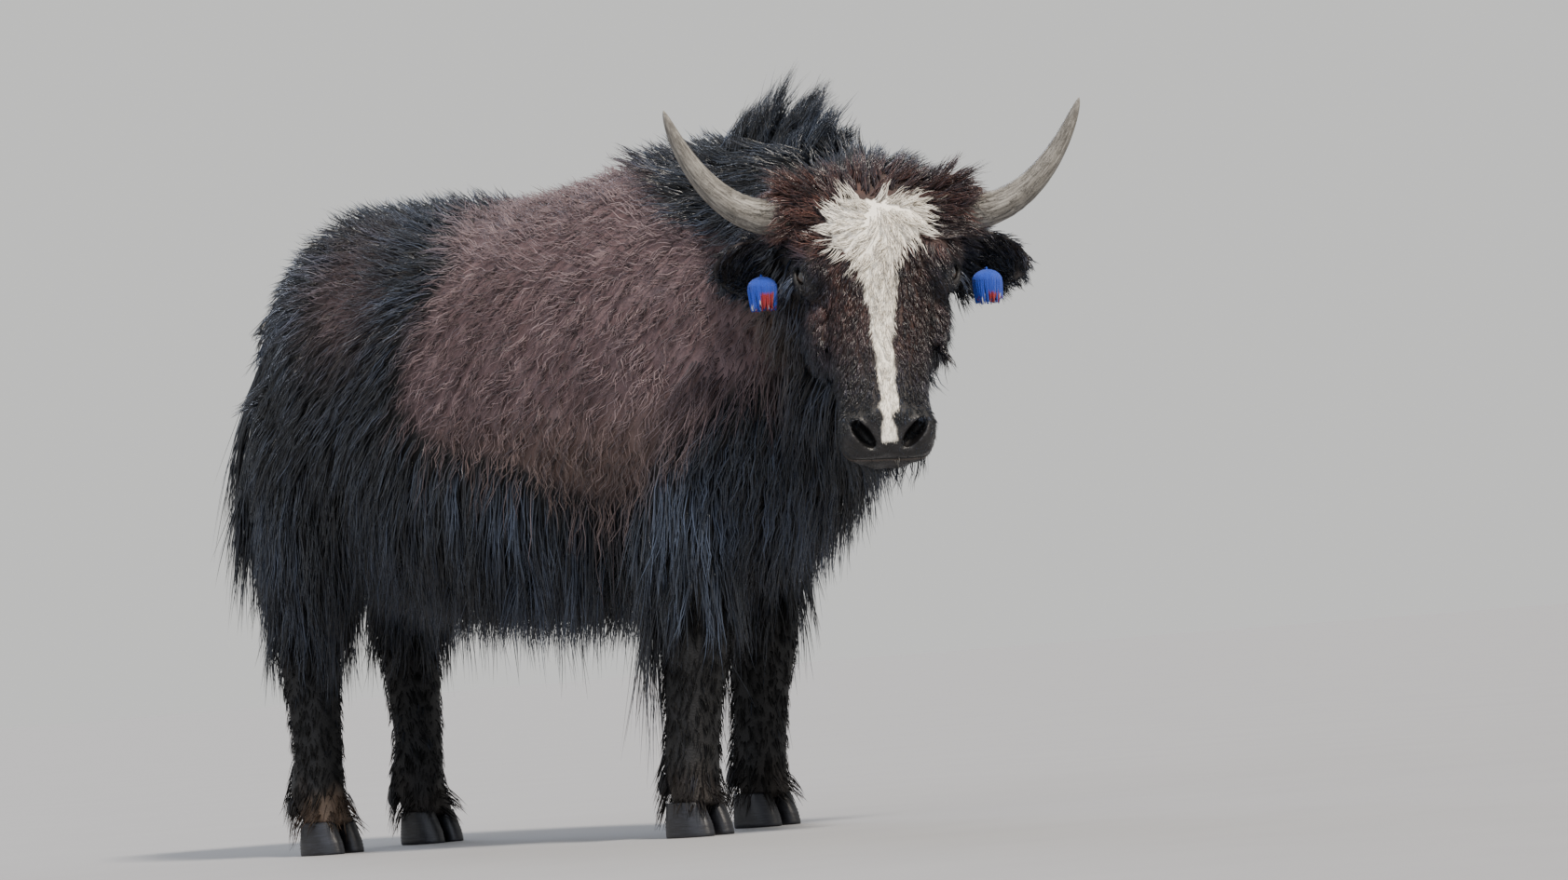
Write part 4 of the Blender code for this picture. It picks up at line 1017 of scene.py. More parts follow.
def grow_guides(spots, plan):
    """Grows one guide from each root, as its places relative to the root."""
    normal, length = spots["normal"], plan["length"]
    lie = plan["lie"] - normal * np.sum(plan["lie"] * normal, axis=1)[:, None]
    lie = unit(lie + 1e-4)
    heading = unit(lie + normal * plan["lift"][:, None])
    place = spots["root"].copy()
    path = [place.copy()]
    step = (length / GUIDE_STEPS)[:, None]
    for number in range(1, GUIDE_STEPS + 1):
        heading = unit(heading - np.array(UP) * (plan["droop"][:, None] * step / DROOP_STEP))
        place = place + heading * step
        need = plan["clear"] * min(1.0, number / 3.0)
        for index in range(len(place)):
            spot, way, _, gap = skin_tree.find_nearest(Vector(place[index]))
            if gap < NEAR_SKIN:
                height = (Vector(place[index]) - spot).dot(way)
                if height < need[index]:
                    place[index] += np.array(way) * (need[index] - height)
        place[:, 2] = np.maximum(place[:, 2], GUIDE_ABOVE_FLOOR)
        path.append(place.copy())
    return np.stack(path, axis=1) - spots["root"][:, None, :]


print("the skin can carry", int(face_areas.sum() * 13900), "roots at the density of the back")

# %% [markdown]
# From guides to strands. Every strand copies its nearest guide and leans towards it at the tip, which is
# what gathers a living coat into locks. A little stray, a wave, and a shade of its own keep it single.

# %% Strands that follow their guides
ROOT_DEPTH = 0.004
WAVE_LENGTH = 0.045
STRAND_ABOVE_FLOOR = 0.006


def sampled(path, share):
    """Places along each path at some shares of its length."""
    where = np.clip(share, 0, 1) * (path.shape[1] - 1)
    low = np.minimum(where.astype(int), path.shape[1] - 2)
    rest = (where - low)[..., None]
    rows = np.arange(len(path))[:, None]
    return path[rows, low] * (1 - rest) + path[rows, low + 1] * rest


def tone_of(spots, lock_tone):
    """How light each strand is within its colour, from 0 to 1: by place, with painted sheen and shade, by lock
    and by chance.
    """
    root, part = spots["root"], spots["part"]
    x, _, z = from_centre(root).T
    # Painted sheen lightens the shoulder and a band along the lower flank. The legs are darker, partly by
    # their own blacker hair and partly by painted shade from the body above
    tone = 0.42 + 0.13 * ripple(root, 0.22, 31)
    tone += 0.26 * mound(x, z, (0.42, 0.62), (0.13, 0.17)) + 0.16 * mound(x, z, (0.05, 0.60), (0.40, 0.10))
    tone -= 0.30 * (part == LEG_PART)
    tone += 0.45 * (part == EAR_PART) * smooth_step(abs(in_head(root)[:, 1]), 0.165, 0.135)
    # The wool on top of the back is painted lighter, as sunlit, and low down it is darker and redder, partly
    # its own colour and partly painted shade; on the rump it is darker and redder still
    _, wool, red, _ = marks_of(root, part).T
    wool_light_and_shade = 0.28 * smooth_step(z, 0.80, 1.00) - 0.14 * smooth_step(z, 0.80, 0.64)
    tone += wool * (wool_light_and_shade - 0.45 * smooth_step(x, -0.20, -0.27)) + 0.16 * red
    return np.clip(tone + 0.14 * lock_tone + 0.12 * RNG.normal(size=len(root)), 0, 1)


def follow(spots, plan, guides, guide_paths, rings):
    """The stations of every strand, from its root to its tip."""
    tree = KDTree(len(guides["root"]))
    for index, root in enumerate(guides["root"]):
        tree.insert(root, index)
    tree.balance()
    nearest = np.array([tree.find(root)[1] for root in spots["root"]])
    count = len(nearest)
    share = np.linspace(0, 1, rings + 1)[None, :]
    reach = RNG.uniform(0.62, 1.0, count)[:, None]
    shape = sampled(guide_paths[nearest], share * reach)
    pull = (guides["root"][nearest] - spots["root"])[:, None, :]
    places = spots["root"][:, None, :] + shape + pull * (plan["clump"][:, None] * share**1.3)[..., None]
    length = plan["length"][:, None]
    stray = RNG.normal(size=(count, 1, 3)) * (plan["splay"][:, None] * length * share**1.6)[..., None]
    side = unit(np.cross(spots["normal"], shape[:, -1]))[:, None, :]
    phase = RNG.uniform(0, math.tau, count)[:, None] * 0.35 + ripple(spots["root"], 0.07, 9)[:, None] * 2
    wave = np.sin(phase + math.tau * share * length / WAVE_LENGTH) * np.minimum(1, share * 2)
    wave *= plan["frizz"][:, None]
    places = places + stray + side * wave[..., None]
    places[:, 0] -= spots["normal"] * ROOT_DEPTH
    places[..., 2] = np.maximum(places[..., 2], STRAND_ABOVE_FLOOR)
    lock_tone = RNG.normal(size=len(guides["root"]))[nearest]
    spots["vary"] = tone_of(spots, lock_tone)
    return places


print("strands copy guides of", GUIDE_STEPS + 1, "places")

# %% [markdown]
# Strands as solids. Each strand is a closed tapered rod with three sides, which is the least that has a
# width from every side. Laying 60,000 of them with one operator each would take an hour, so here alone the
# corners and faces of all strands of a piece are written as arrays.

# %% Closed tubes, many at a time
def mesh_of_tubes(name, sections, tips):
    """One mesh of many closed tubes: each has rings of corners, and a point at its end."""
    count, rings, sides = sections.shape[:3]
    block = rings * sides + 1
    last = block - 1 - sides
    turn = [(a, (a + 1) % sides) for a in range(sides)]
    walls = [(row + a, row + b, row + sides + b, row + sides + a)
             for row in range(0, last, sides) for a, b in turn]
    point = [(last + a, last + b, block - 1) for a, b in turn]
    foot = list(range(sides))[::-1]
    corners_of_one = np.array([corner for face in walls + point for corner in face] + foot)
    loops = (corners_of_one[None, :] + (np.arange(count) * block)[:, None]).ravel()
    sizes = np.tile([4] * len(walls) + [3] * len(point) + [sides], count)
    verts = np.concatenate([sections.reshape(count, rings * sides, 3), tips[:, None]], axis=1)
    mesh = bpy.data.meshes.new(name)
    mesh.vertices.add(count * block)
    mesh.vertices.foreach_set("co", verts.astype(np.float32).ravel())
    mesh.loops.add(len(loops))
    mesh.loops.foreach_set("vertex_index", loops.astype(np.int32))
    mesh.polygons.add(len(sizes))
    starts = np.concatenate([[0], np.cumsum(sizes)[:-1]])
    mesh.polygons.foreach_set("loop_start", starts.astype(np.int32))
    mesh.update(calc_edges=True)
    mesh.shade_smooth()
    return mesh, loops


one_tube = mesh_of_tubes("one_tube", np.zeros((1, 2, 3, 3)), np.zeros((1, 3)))[0]
print("a tube of two rings has", len(one_tube.polygons), "faces")
bpy.data.meshes.remove(one_tube)

# %% [markdown]
# A piece of coat. The strands of a zone are sorted from rear to front and cut into pieces that export well.
# A strand is widest a third of the way along, flatter than it is wide, and ends in a point. One material
# could take its colour from a picture, but here every strand gets a small patch of the skin's own unwrap,
# where the export can bake it, and the numbers that its material reads.

# %% Strands in pieces
UV_PATCH = 0.003
PIECE_LIMIT = 190000


def strand_piece(name, spots, paths, width):
    """One piece of coat: its tubes, its unwrap, and what its material reads."""
    count, rings = len(paths), paths.shape[1] - 1
    along = unit(np.gradient(paths, axis=1))[:, :rings]
    side = unit(np.cross(along, spots["normal"][:, None, :] + RNG.normal(size=(count, 1, 3)) * 0.25))
    out = np.cross(side, along)
    share = np.linspace(0, 1, rings + 1)[:rings]
    swell = (0.60 + 0.40 * np.sin(np.minimum(1, share * 3) * math.pi / 2)) * (1 - share**2.2)
    half = (width[:, None] * swell)[..., None] / 2
    middle = paths[:, :rings]
    sections = np.stack([middle - side * half, middle + out * half * 0.9, middle + side * half], axis=2)
    mesh, loops = mesh_of_tubes(name, sections, paths[:, rings])
    steps = np.append(np.repeat(np.arange(rings), 3), rings) / rings
    across = np.append(np.tile([-0.5, 0.0, 0.5], rings), 0.0)
    patch = np.stack([across, steps - 0.5], axis=1) * UV_PATCH
    uv = (spots["uv"][:, None, :] + patch[None]).reshape(-1, 2)
    layer = mesh.uv_layers.new(name="OFBake")
    layer.data.foreach_set("uv", uv[loops].astype(np.float32).ravel())
    block = len(steps)
    marks = marks_of(spots["root"], spots["part"])
    marks, vary = np.repeat(marks, block, axis=0), np.repeat(spots["vary"], block)
    store(mesh, marks=marks, along=np.tile(steps, count), vary=vary)
    mesh.materials.append(leg_hair_mat if name.startswith("coat_legs") else hair_mat)
    obj = in_scene(name, mesh)
    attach(obj, "root")
    print(name, count, "strands,", len(mesh.loops) - 2 * len(mesh.polygons), "triangles")


def build_strands(name, spots, paths, width):
    """Makes solid strands in pieces of a size that exports well, from rear to front."""
    rings = paths.shape[1] - 1
    most = PIECE_LIMIT // ((rings - 1) * 6 + 4)
    parts = math.ceil(len(paths) / most)
    for number, chosen in enumerate(np.array_split(np.argsort(spots["root"][:, 0]), parts)):
        piece = f"{name}_{number + 1}" if parts > 1 else name
        its_spots = {key: value[chosen] for key, value in spots.items()}
        strand_piece(piece, its_spots, paths[chosen], width[chosen])


def coat_zone(name, chosen, density, guide_density, plan_of, rings,
              paths_of=grow_guides, widths=(0.75, 1.25)):
    """Grows one zone of the coat: its guides first, and then its strands."""
    faces = np.flatnonzero(chosen)
    guides = scatter(faces, guide_density)
    paths = paths_of(guides, plan_of(guides))
    spots = scatter(faces, density)
    plan = plan_of(spots)
    strands = follow(spots, plan, guides, paths, rings)
    build_strands(name, spots, strands, plan["width"] * RNG.uniform(*widths, len(strands)))


print("pieces of coat stay under", PIECE_LIMIT, "triangles")

# %% [markdown]
# The lie of the coat. On the back it runs to the rear, on the flanks it turns down, and below it hangs
# as a skirt almost to the knees. Combing it by hand would be usual, but a plan by place can be measured
# and repeated. Lengths follow the living animal: wool of 5 to 7 cm on the back, 15 to 25 cm in the skirt,
# 13 cm on the chest, and 3 to 7 cm down the legs.

# %% Plan of the body's coat
BACK_HAIR, FLANK_MORE, SKIRT_MORE = 0.078, 0.092, 0.170
WOOL_HAIR, LOW_WOOL_MORE = 0.042, 0.024
ELBOW_MORE, ELBOW_BEHIND, ELBOW_REACH = 0.065, 0.080, 0.075
CHEST_HAIR, BELLY_HAIR = 0.130, 0.150
RUMP_HAIR, LOW_RUMP_MORE = 0.062, 0.090
LEG_HAIR = 0.026


def body_plan(spots):
    """Length, direction, lift and finish of the hair at each root on trunk and legs."""
    q = from_centre(spots["root"])
    x, y, z = q.T
    normal, part = spots["normal"], spots["part"]
    count = len(x)
    on_leg = part == LEG_PART
    wool = marks_of(spots["root"], part)[:, 1]
    low = smooth_step(z, 0.80, 0.58)
    behind = np.clip(-normal[:, 0], 0, 1)
    under = smooth_step(-normal[:, 2], 0.5, 0.8) * smooth_step(abs(y), 0.21, 0.14) * (part == TRUNK_PART)

    ragged = 0.85 + 0.30 * ripple(q, 0.10, 14)
    leg_x = np.where(y < 0, FEET["front_right"][0], FEET["front_left"][0])
    ahead = smooth_step(x - leg_x, -0.030, 0.040)
    length = BACK_HAIR + FLANK_MORE * low + SKIRT_MORE * smooth_step(z, 0.56, 0.45) * ragged * (1 - ahead)
    length = mixed(length, WOOL_HAIR + LOW_WOOL_MORE * low, wool)
    elbow = np.exp(-(((x - leg_x + ELBOW_BEHIND) / ELBOW_REACH) ** 2)) * smooth_step(z, 0.62, 0.50)
    length += ELBOW_MORE * elbow * ragged * (1 - ahead)
    length = np.where((x > 0.44) & (z < 0.75), CHEST_HAIR, length)
    rump = smooth_step(x, -0.44, -0.56)
    length = mixed(length, RUMP_HAIR + LOW_RUMP_MORE * low, rump)
    length = mixed(length, BELLY_HAIR, under)
    # The hair of the legs is longest at the top, behind, and as a feather over the hoof
    hind = LEG_HAIR + 0.044 * smooth_step(z, 0.33, 0.41) + 0.012 * behind
    fore = LEG_HAIR + 0.045 * smooth_step(z, 0.30, 0.41) + 0.014 * behind
    feather = 0.022 * smooth_step(z, 0.135, 0.100) + 0.034 * behind * smooth_step(z, 0.19, 0.14)
    length = np.where(on_leg, np.where(x < 0, hind, fore) + feather, length)

    back = -1.0 + 0.50 * smooth_step(z, 0.98, 0.80) + 0.24 * smooth_step(z, 0.80, 0.55)
    drop = -0.20 - 0.80 * smooth_step(z, 1.00, 0.80)
    back = np.where(x < -0.45, back * 0.45, back)
    back = np.where(x > 0.50, -0.45, back)
    lie = np.stack([back, np.zeros(count), drop], axis=1)
    lie[on_leg] = (-0.12, 0.0, -1.0)
    lie[under > 0.5] = (-0.8, 0.0, -0.2)
    lie += 0.22 * np.stack([ripple(q, 0.14, 11), 0.6 * ripple(q, 0.17, 12), 0.6 * ripple(q, 0.12, 13)], axis=1)
    lie += RNG.normal(size=(count, 3)) * (0.06 + 0.10 * wool)[:, None]

    lift = 0.34 + 0.20 * (1 - low) + 0.25 * np.clip(normal[:, 2], 0, 1) + RNG.normal(size=count) * 0.08
    leg_lift = 0.22 + 0.15 * behind + 0.85 * smooth_step(z, 0.110, 0.080)
    lift = np.where(on_leg, leg_lift, lift * (1 - 0.45 * rump))
    droop = np.where(under > 0.5, 0.30, 0.05 + 0.10 * low)
    droop = np.where(on_leg, 0.12 + 0.16 * smooth_step(z, 0.110, 0.080), droop)
    clear = np.where(on_leg, 0.003, 0.007 + 0.010 * np.minimum(1.0, length / 0.15))
    frizz = np.where(on_leg, 0.0012, 0.0034 + 0.0024 * wool)
    return {"length": length, "lie": lie, "lift": lift, "droop": droop, "clear": clear, "frizz": frizz,
            "clump": np.where(on_leg, 0.55, 0.62 - 0.24 * wool), "splay": 0.055 + 0.055 * wool,
            "width": np.where(on_leg, 0.0021, 0.0026 - 0.0006 * wool)}


print("hair of the back", BACK_HAIR, "m, of the hem", BACK_HAIR + FLANK_MORE + SKIRT_MORE, "m")

# %% [markdown]
# The coat of trunk and legs is grown in three zones, because the back needs the densest hair and the skirt
# the longest strands. Hair on a real yak is 0.05 mm thick and far too fine to draw: these strands are 2 to
# 3 mm wide and stand for a lock of some hundred hairs each.

# %% Coat of the trunk and legs
SKIRT_TOP = 0.68
face_part = part_of_point[corners[:, 0]]
face_middle = points[corners].mean(axis=1)
trunk_faces = face_part == TRUNK_PART
on_back = face_middle[:, 2] > SKIRT_TOP
# Name, faces, strands and guides per square metre, and rings along each strand
for zone in (("coat_back", trunk_faces & on_back, 13900, 2600, body_plan, 4),
             ("coat_skirt", trunk_faces & ~on_back, 12500, 2000, body_plan, 5),
             ("coat_legs", face_part == LEG_PART, 17500, 3000, body_plan, 3)):
    coat_zone(*zone)

# %% [markdown]
# The hair of the head. It starts from a whorl on the forehead: long white and red-brown hair radiates
# from there, stands up over the poll and wraps the roots of the horns. Down the face it grows shorter,
# until the muzzle has only a few bristles. The cheeks and the jaw keep longer hair that hangs back. The
# plan is written in distances down the face, so that it turns with the head.

# %% Plan of the head's coat
WHORL = (0.080, 0.004)
FACE_DOWN = (-0.02, 0.03, 0.08, 0.13, 0.18, 0.24, 0.36, 0.41, 0.46)
FACE_HAIR = (0.054, 0.045, 0.036, 0.033, 0.026, 0.021, 0.017, 0.010, 0.006)
CHEEK_DOWN = (0.0, 0.10, 0.25, 0.36, 0.42, 0.46)
CHEEK_HAIR = (0.060, 0.050, 0.044, 0.028, 0.014, 0.006)
LIFT_DOWN = (-0.02, 0.05, 0.08, 0.15, 0.25, 0.45)
FACE_LIFT = (0.80, 0.58, 0.40, 0.33, 0.24, 0.20)
BOSS_HAIR, JAW_MORE, EAR_HAIR = 0.070, 0.030, 0.042


def head_plan(spots):
    """Length, direction, lift and finish of the hair at each root on head and ears."""
    root, normal, part = spots["root"], spots["normal"], spots["part"]
    down, out, front = in_head(root).T
    rising = -(normal @ np.array(NOSE))
    facing = normal @ np.array(FACE)
    outward = np.sign(out)
    none = np.zeros(len(down))

    def column(*parts):
        return np.stack([part + none for part in parts], axis=1)

    # A whorl is a spiral: each hair leaves the middle askew, and those at the middle fall down the face
    away = column(down - WHORL[0], out - WHORL[1], 0.0)
    spread = np.linalg.norm(away, axis=1)
    radial = unit(away + 1e-6) + 0.45 * unit(column(out - WHORL[1], WHORL[0] - down, 0.0) + 1e-6)
    radial = mixed(column(0.9, 0.35, 0.0), unit(radial), smooth_step(spread, 0.004, 0.026)[:, None])
    lie = mixed(radial, unit(column(1.0, 4.5 * out, 0.0)), smooth_step(down, 0.11, 0.19)[:, None])
    cheek = smooth_step(-front, 0.065, 0.11)
    lie = mixed(lie, column(0.85, 0.10 * outward, -0.45), cheek[:, None])
    boss = mound(down, front, (0.048, -0.046), (0.066, 0.075)) * smooth_step(abs(out), 0.060, 0.100)
    lie = mixed(lie, column(-0.45 * rising, outward, 0.45 * facing), boss[:, None])
    lie += 0.20 * column(ripple(root, 0.070, 21), ripple(root, 0.060, 22), 0.0)
    lie += RNG.normal(size=lie.shape) * 0.10

    length = mixed(np.interp(down, FACE_DOWN, FACE_HAIR), np.interp(down, CHEEK_DOWN, CHEEK_HAIR), cheek)
    length += JAW_MORE * smooth_step(-facing, 0.45, 0.8) * (1 - smooth_step(down, 0.33, 0.41))
    length = mixed(length, BOSS_HAIR, boss)
    lift = np.interp(down, LIFT_DOWN, FACE_LIFT) + 0.35 * np.exp(-((spread / 0.022) ** 2))
    lift = mixed(lift, 0.26, cheek)
    lift = mixed(lift, 0.55 + 0.45 * np.clip(rising, 0, 1), boss)
    # Hair round the eye is short and lies flat
    eye = near_features(root)[1]
    length *= 0.34 + 0.66 * smooth_step(eye, 0.024, 0.048)
    lift *= 0.4 + 0.6 * smooth_step(eye, 0.024, 0.050)

    ear = part == EAR_PART
    tip = smooth_step(abs(out), 0.15, 0.24)
    ear_lie = column(0.55, outward * (0.95 - 0.5 * tip), -0.1) + RNG.normal(size=lie.shape) * 0.15
    lie = np.where(ear[:, None], ear_lie, lie)
    length = np.where(ear, EAR_HAIR - 0.018 * tip, length)
    lift = np.where(ear, 0.50, lift)
    return {"length": length, "lie": lie @ HEAD_FRAME, "lift": lift + RNG.normal(size=len(lift)) * 0.06,
            "droop": np.where(ear, 0.10, 0.035), "clear": np.minimum(0.006, length * 0.12),
            "frizz": np.minimum(0.0028, length * 0.055), "splay": none + 0.08,
            "clump": np.interp(length, (0.010, 0.025, 0.045), (0.2, 0.5, 0.60)),
            "width": np.interp(length, (0.010, 0.018, 0.035, 0.060), (0.0008, 0.0013, 0.0018, 0.0022))}


print("hair of the face", FACE_HAIR[0], "m at the poll and", FACE_HAIR[-1], "m at the lips")

# %% [markdown]
# Zones of the head. Short hair of the face needs many thin strands with few rings, and the forelock fewer
# and longer ones. The plan is asked once for the middle of every face, to tell short hair from long. No
# hair grows in a nostril, on an eye or in the mouth.

# %% Hair of the head
LONG_HAIR = 0.029
NOSTRIL_CLEAR, EYE_CLEAR, MOUTH_CLEAR = 0.021, 0.0030, 0.0032
LASH_CLEAR = 0.006
head_faces = np.isin(face_part, (HEAD_PART, EAR_PART))
face_normal = unit(spans)
here_now = {"root": face_middle[head_faces], "normal": face_normal[head_faces], "part": face_part[head_faces]}
face_length = np.zeros(len(face_part))
face_length[head_faces] = head_plan(here_now)["length"]
nose, eye, above_mouth = near_features(face_middle)
down = in_head(face_middle)[:, 0]
in_mouth = (abs(above_mouth) < MOUTH_CLEAR) & (down > 0.34)
hairy = head_faces & ~((nose < NOSTRIL_CLEAR) | (eye < EYE_RADIUS + EYE_CLEAR) | in_mouth)
on_face = hairy & (face_part == HEAD_PART)
long = face_length >= LONG_HAIR
bare_face = bareness(face_middle, face_part) >= 0.5
bristly = on_face & ~long & bare_face & (eye > EYE_RADIUS + LASH_CLEAR)
# Name, faces, strands and guides per square metre, and rings along each strand
for zone in (("coat_face", on_face & ~long & ~bare_face, 112000, 9000, head_plan, 3),
             ("coat_muzzle", bristly, 40000, 9000, head_plan, 2),
             ("coat_brow", on_face & long, 60000, 5200, head_plan, 4),
             ("coat_ears", hairy & (face_part == EAR_PART), 56000, 6000, head_plan, 3)):
    coat_zone(*zone)

# %% [markdown]
# The crest. Along the top of the neck and over the hump a yak carries a mane that the wind lifts. Such hair
# doesn't sink, so its guides aren't grown but drawn: they stand up and bend forward and to the left.

# %% Crest on the neck
CREST_FIRST = (0.412, -0.004)
CREST_RUN = (0.260, -0.070)
CREST_HALF_WIDTH = 0.052
CREST_HEIGHT = 0.152


def crest_share(places):
    """How far along the crest each place is, and how far to its side."""
    q = from_centre(places)
    share = (q[:, 0] - CREST_FIRST[0]) / CREST_RUN[0]
    return share, q[:, 1] - (CREST_FIRST[1] + CREST_RUN[1] * share)


def even(count, **values):
    """One value for every hair, under each name."""
    return {name: np.full(count, value) for name, value in values.items()}


def crest_plan(spots):
    """Tallest a little before the middle of the crest, and lower to its sides."""
    share, aside = crest_share(spots["root"])
    count = len(share)
    length = CREST_HEIGHT * (1.0 - 0.62 * abs(share - 0.45)) * RNG.uniform(0.75, 1.1, count)
    length *= 1.0 - 0.35 * abs(aside) / CREST_HALF_WIDTH
    return {"length": length, "share": share} | even(count, frizz=0.006, clump=0.76, splay=0.065, width=0.0020)


def crest_paths(guides, plan):
    """Guides that stand up and are blown forward and to the left at their tips."""
    count = len(plan["length"])
    lean = np.stack([0.05 + 0.30 * plan["share"], RNG.uniform(-0.15, 0.25, count), np.ones(count)], axis=1)
    bends = ((0.1, 0.6), (0.0, 0.5), (-0.3, 0.0))
    bend = np.stack([RNG.uniform(low, high, count) for low, high in bends], axis=1)
    part = np.linspace(0, 1, GUIDE_STEPS + 1)[None, :, None]
    return (unit(lean)[:, None, :] * part + bend[:, None, :] * part**2.4 * 0.8) * plan["length"][:, None, None]


share, aside = crest_share(face_middle)
on_crest = (share > -0.05) & (share < 1.05) & (abs(aside) < CREST_HALF_WIDTH) & (face_normal[:, 2] > 0.55)
coat_zone("coat_crest", trunk_faces & on_crest, 66000, 1300, crest_plan, 6, crest_paths, (0.7, 1.2))

# %% [markdown]
# Tail and beard. The tail of a yak is a horse's tail rather than a cow's, with hair from its root on, and
# the chin carries a thin beard. Both hang freely, so they are grown as the skirt is, with longer strands.

# %% Tail and beard
def tail_plan(spots):
    """Long hair that falls to one hem, and shorter hair on the dock."""
    height = from_centre(spots["root"])[:, 2]
    count = len(height)
    length = np.where(height > 0.90, 0.085, np.clip((height - 0.36) * 0.95, 0.06, 0.36))
    lie = np.tile([-0.12, 0.0, -1.0], (count, 1)) + RNG.normal(size=(count, 3)) * 0.10
    return {"length": length, "lie": lie} | even(
        count, lift=0.26, droop=0.10, clear=0.006, frizz=0.005, clump=0.70, splay=0.04, width=0.0032)


def beard_plan(spots):
    """Thin hair of uneven length that falls from the chin."""
    count = len(spots["root"])
    lie = np.tile([0.5, 0.0, -1.0], (count, 1)) @ HEAD_FRAME + np.array([0, 0, -1.2])
    length = RNG.uniform(0.025, 0.062, count)
    return {"length": length, "lie": lie + RNG.normal(size=(count, 3)) * 0.12} | even(
        count, lift=0.7, droop=0.20, clear=0.002, frizz=0.002, clump=0.6, splay=0.10, width=0.0014)


coat_zone("coat_tail", face_part == TAIL_PART, 26000, 1700, tail_plan, 7)
chin = on_face & (down > 0.36) & (down < 0.45) & (face_normal @ np.array(FACE) < -0.55)
coat_zone("coat_beard", chin, 30000, 5000, beard_plan, 4)

# %% [markdown]
# Horns. A horn is a sheath of horn over a core of bone. It leaves the skull sideways and sweeps up and
# forward. A curve with a bevel would give a smooth one, but not its low rings of growth, so each horn is
# lofted ring by ring. The place that every point would have on a straightened horn is kept with it, so
# that cracks can run the length of the horn.

# %% Shape of a horn
HORN = ((0.039, 0.084, -0.051), (0.114, 0.214, -0.035), (-0.013, 0.295, 0.008), (-0.084, 0.321, 0.055))
HORN_RADIUS = 0.031
HORN_TIP_RADIUS = 0.0028
HORN_RINGS = 110
HORN_SIDES = 40
HORN_RELIEF = 0.00055


def on_curve(controls, share):
    """A place on a cubic curve through its four control points."""
    a, b, c, d = controls
    rest = 1.0 - share
    return a * rest**3 + b * (3 * share * rest**2) + c * (3 * share**2 * rest) + d * share**3


def solid_of_rings(name, centres, sides, ups, radii, count, material):
    """A closed tube from arrays of ring centres, directions and radii; keeps its straightened places."""
    bm = bmesh.new()
    rings = []
    straight = bm.verts.layers.float_vector.new("straight")
    run = 0.0
    for number, (centre, side, up) in enumerate(zip(centres, sides, ups)):
        run += (centre - centres[number - 1]).length if number else 0.0
        verts = bmesh.ops.create_circle(bm, segments=count, radius=1.0)["verts"]
        for vert in verts:
            x, y = vert.co.x, vert.co.y
            reach = radii(number, math.atan2(y, x))
            vert.co = centre + side * (x * reach) + up * (y * reach)
            vert[straight] = (x * reach, y * reach, run)
        rings.append(list({edge for vert in verts for edge in vert.link_edges}))
    loft(bm, rings)
    obj = as_object(name, bm, material)
    obj.data.shade_smooth()
    return obj


print("a horn reaches", round((at_head(*HORN[-1]) - at_head(*HORN[0])).length * 1000), "mm from its root")

# %% [markdown]
# Horn is keratin laid down in sheaths, which sun and rain bleach to a pale grey. To the eye that gives
# long fibres, brown stains, hair-fine cracks along them and finer checks across, worn away at the tip. A
# streak on a real horn is about 0.3 mm across; these are ten times as wide, so that they show.

# %% Horn material
# How much each pattern is drawn out across and along the horn, its scale, detail and roughness
HORN_PATTERNS = {
    "streak": ((1, 1, 0.05), 330.0, 5.0, 0.65),
    "blotch": ((1, 1, 0.35), 55.0, 4.0, 0.60),
    "crack": ((1, 1, 0.16), 95.0, 6.0, 0.70),
    "check": ((0.5, 0.5, 1.6), 120.0, 5.0, 0.70),
}
HORN_LENGTH = 0.42

horn_mat, tree, shader = new_material("weathered_yak_horn")
straight = add_node(tree, "Attribute", {"attribute_name": "straight"}, out="Vector")
pattern = {}
for name, (stretch, scale, detail, roughness) in HORN_PATTERNS.items():
    links = {"Vector": add_node(tree, "Mapping", links={"Vector": straight, "Scale": stretch})}
    links |= {"Scale": scale, "Detail": detail, "Roughness": roughness}
    pattern[name] = add_node(tree, "TexNoise", links=links)
height = add_node(tree, "SeparateXYZ", links={"Vector": straight}, out="Z")
run = add_node(tree, "MapRange", links={"Value": height, "From Min": 0.0, "From Max": HORN_LENGTH})
# Cracks follow the line where a noise crosses its middle, so their ramps are dark only close to 0.5
ramps = {
    "pale": (pattern["streak"], ((0.25, "#403d39"), (0.45, "#6d6962"), (0.62, "#938f87"), (0.80, "#b8b5ac"))),
    "stain": (pattern["blotch"], ((0.44, "#000000"), (0.66, "#b0b0b0"))),
    "tip": (run, ((0.66, "#000000"), (0.80, "#6a6a6a"), (0.93, "#404040"), (0.97, "#000000"))),
    "crack": (pattern["crack"], ((0.478, "#ffffff"), (0.5, "#3c352d"), (0.522, "#ffffff"))),
    "check": (pattern["check"], ((0.490, "#ffffff"), (0.5, "#6b6358"), (0.510, "#ffffff"))),
    "near_root": (run, ((0.30, "#ffffff"), (0.80, "#404040"))),
}
ramps = {name: add_node(tree, "ValToRGB", {"stops": stops}, {"Fac": fed})
         for name, (fed, stops) in ramps.items()}
colour = add_node(tree, "Mix", MIX, {0: ramps["stain"], 6: ramps["pale"], 7: "#3a3631"}, out=2)
colour = add_node(tree, "Mix", MIX, {0: ramps["tip"], 6: colour, 7: "#55524d"}, out=2)
for lines in ("crack", "check"):
    colour = add_node(tree, "Mix", MULTIPLY, {0: ramps["near_root"], 6: colour, 7: ramps[lines]}, out=2)
tree.links.new(colour, shader.inputs["Base Color"])
shader.inputs["Roughness"].default_value = 0.52
height = add_node(tree, "Math", {"operation": "MULTIPLY"}, {0: pattern["streak"], 1: ramps["crack"]})
relief = add_node(tree, "Bump", links={"Height": height, "Strength": 0.7, "Distance": 0.0010})
tree.links.new(relief, shader.inputs["Normal"])
print("horn has", len(tree.nodes), "nodes")

# %% [markdown]
# The two horns are mirror images in the head's own directions. Growth rings are low waves in the radius,
# strongest near the root, and slight facets keep the sheath from looking turned on a lathe.

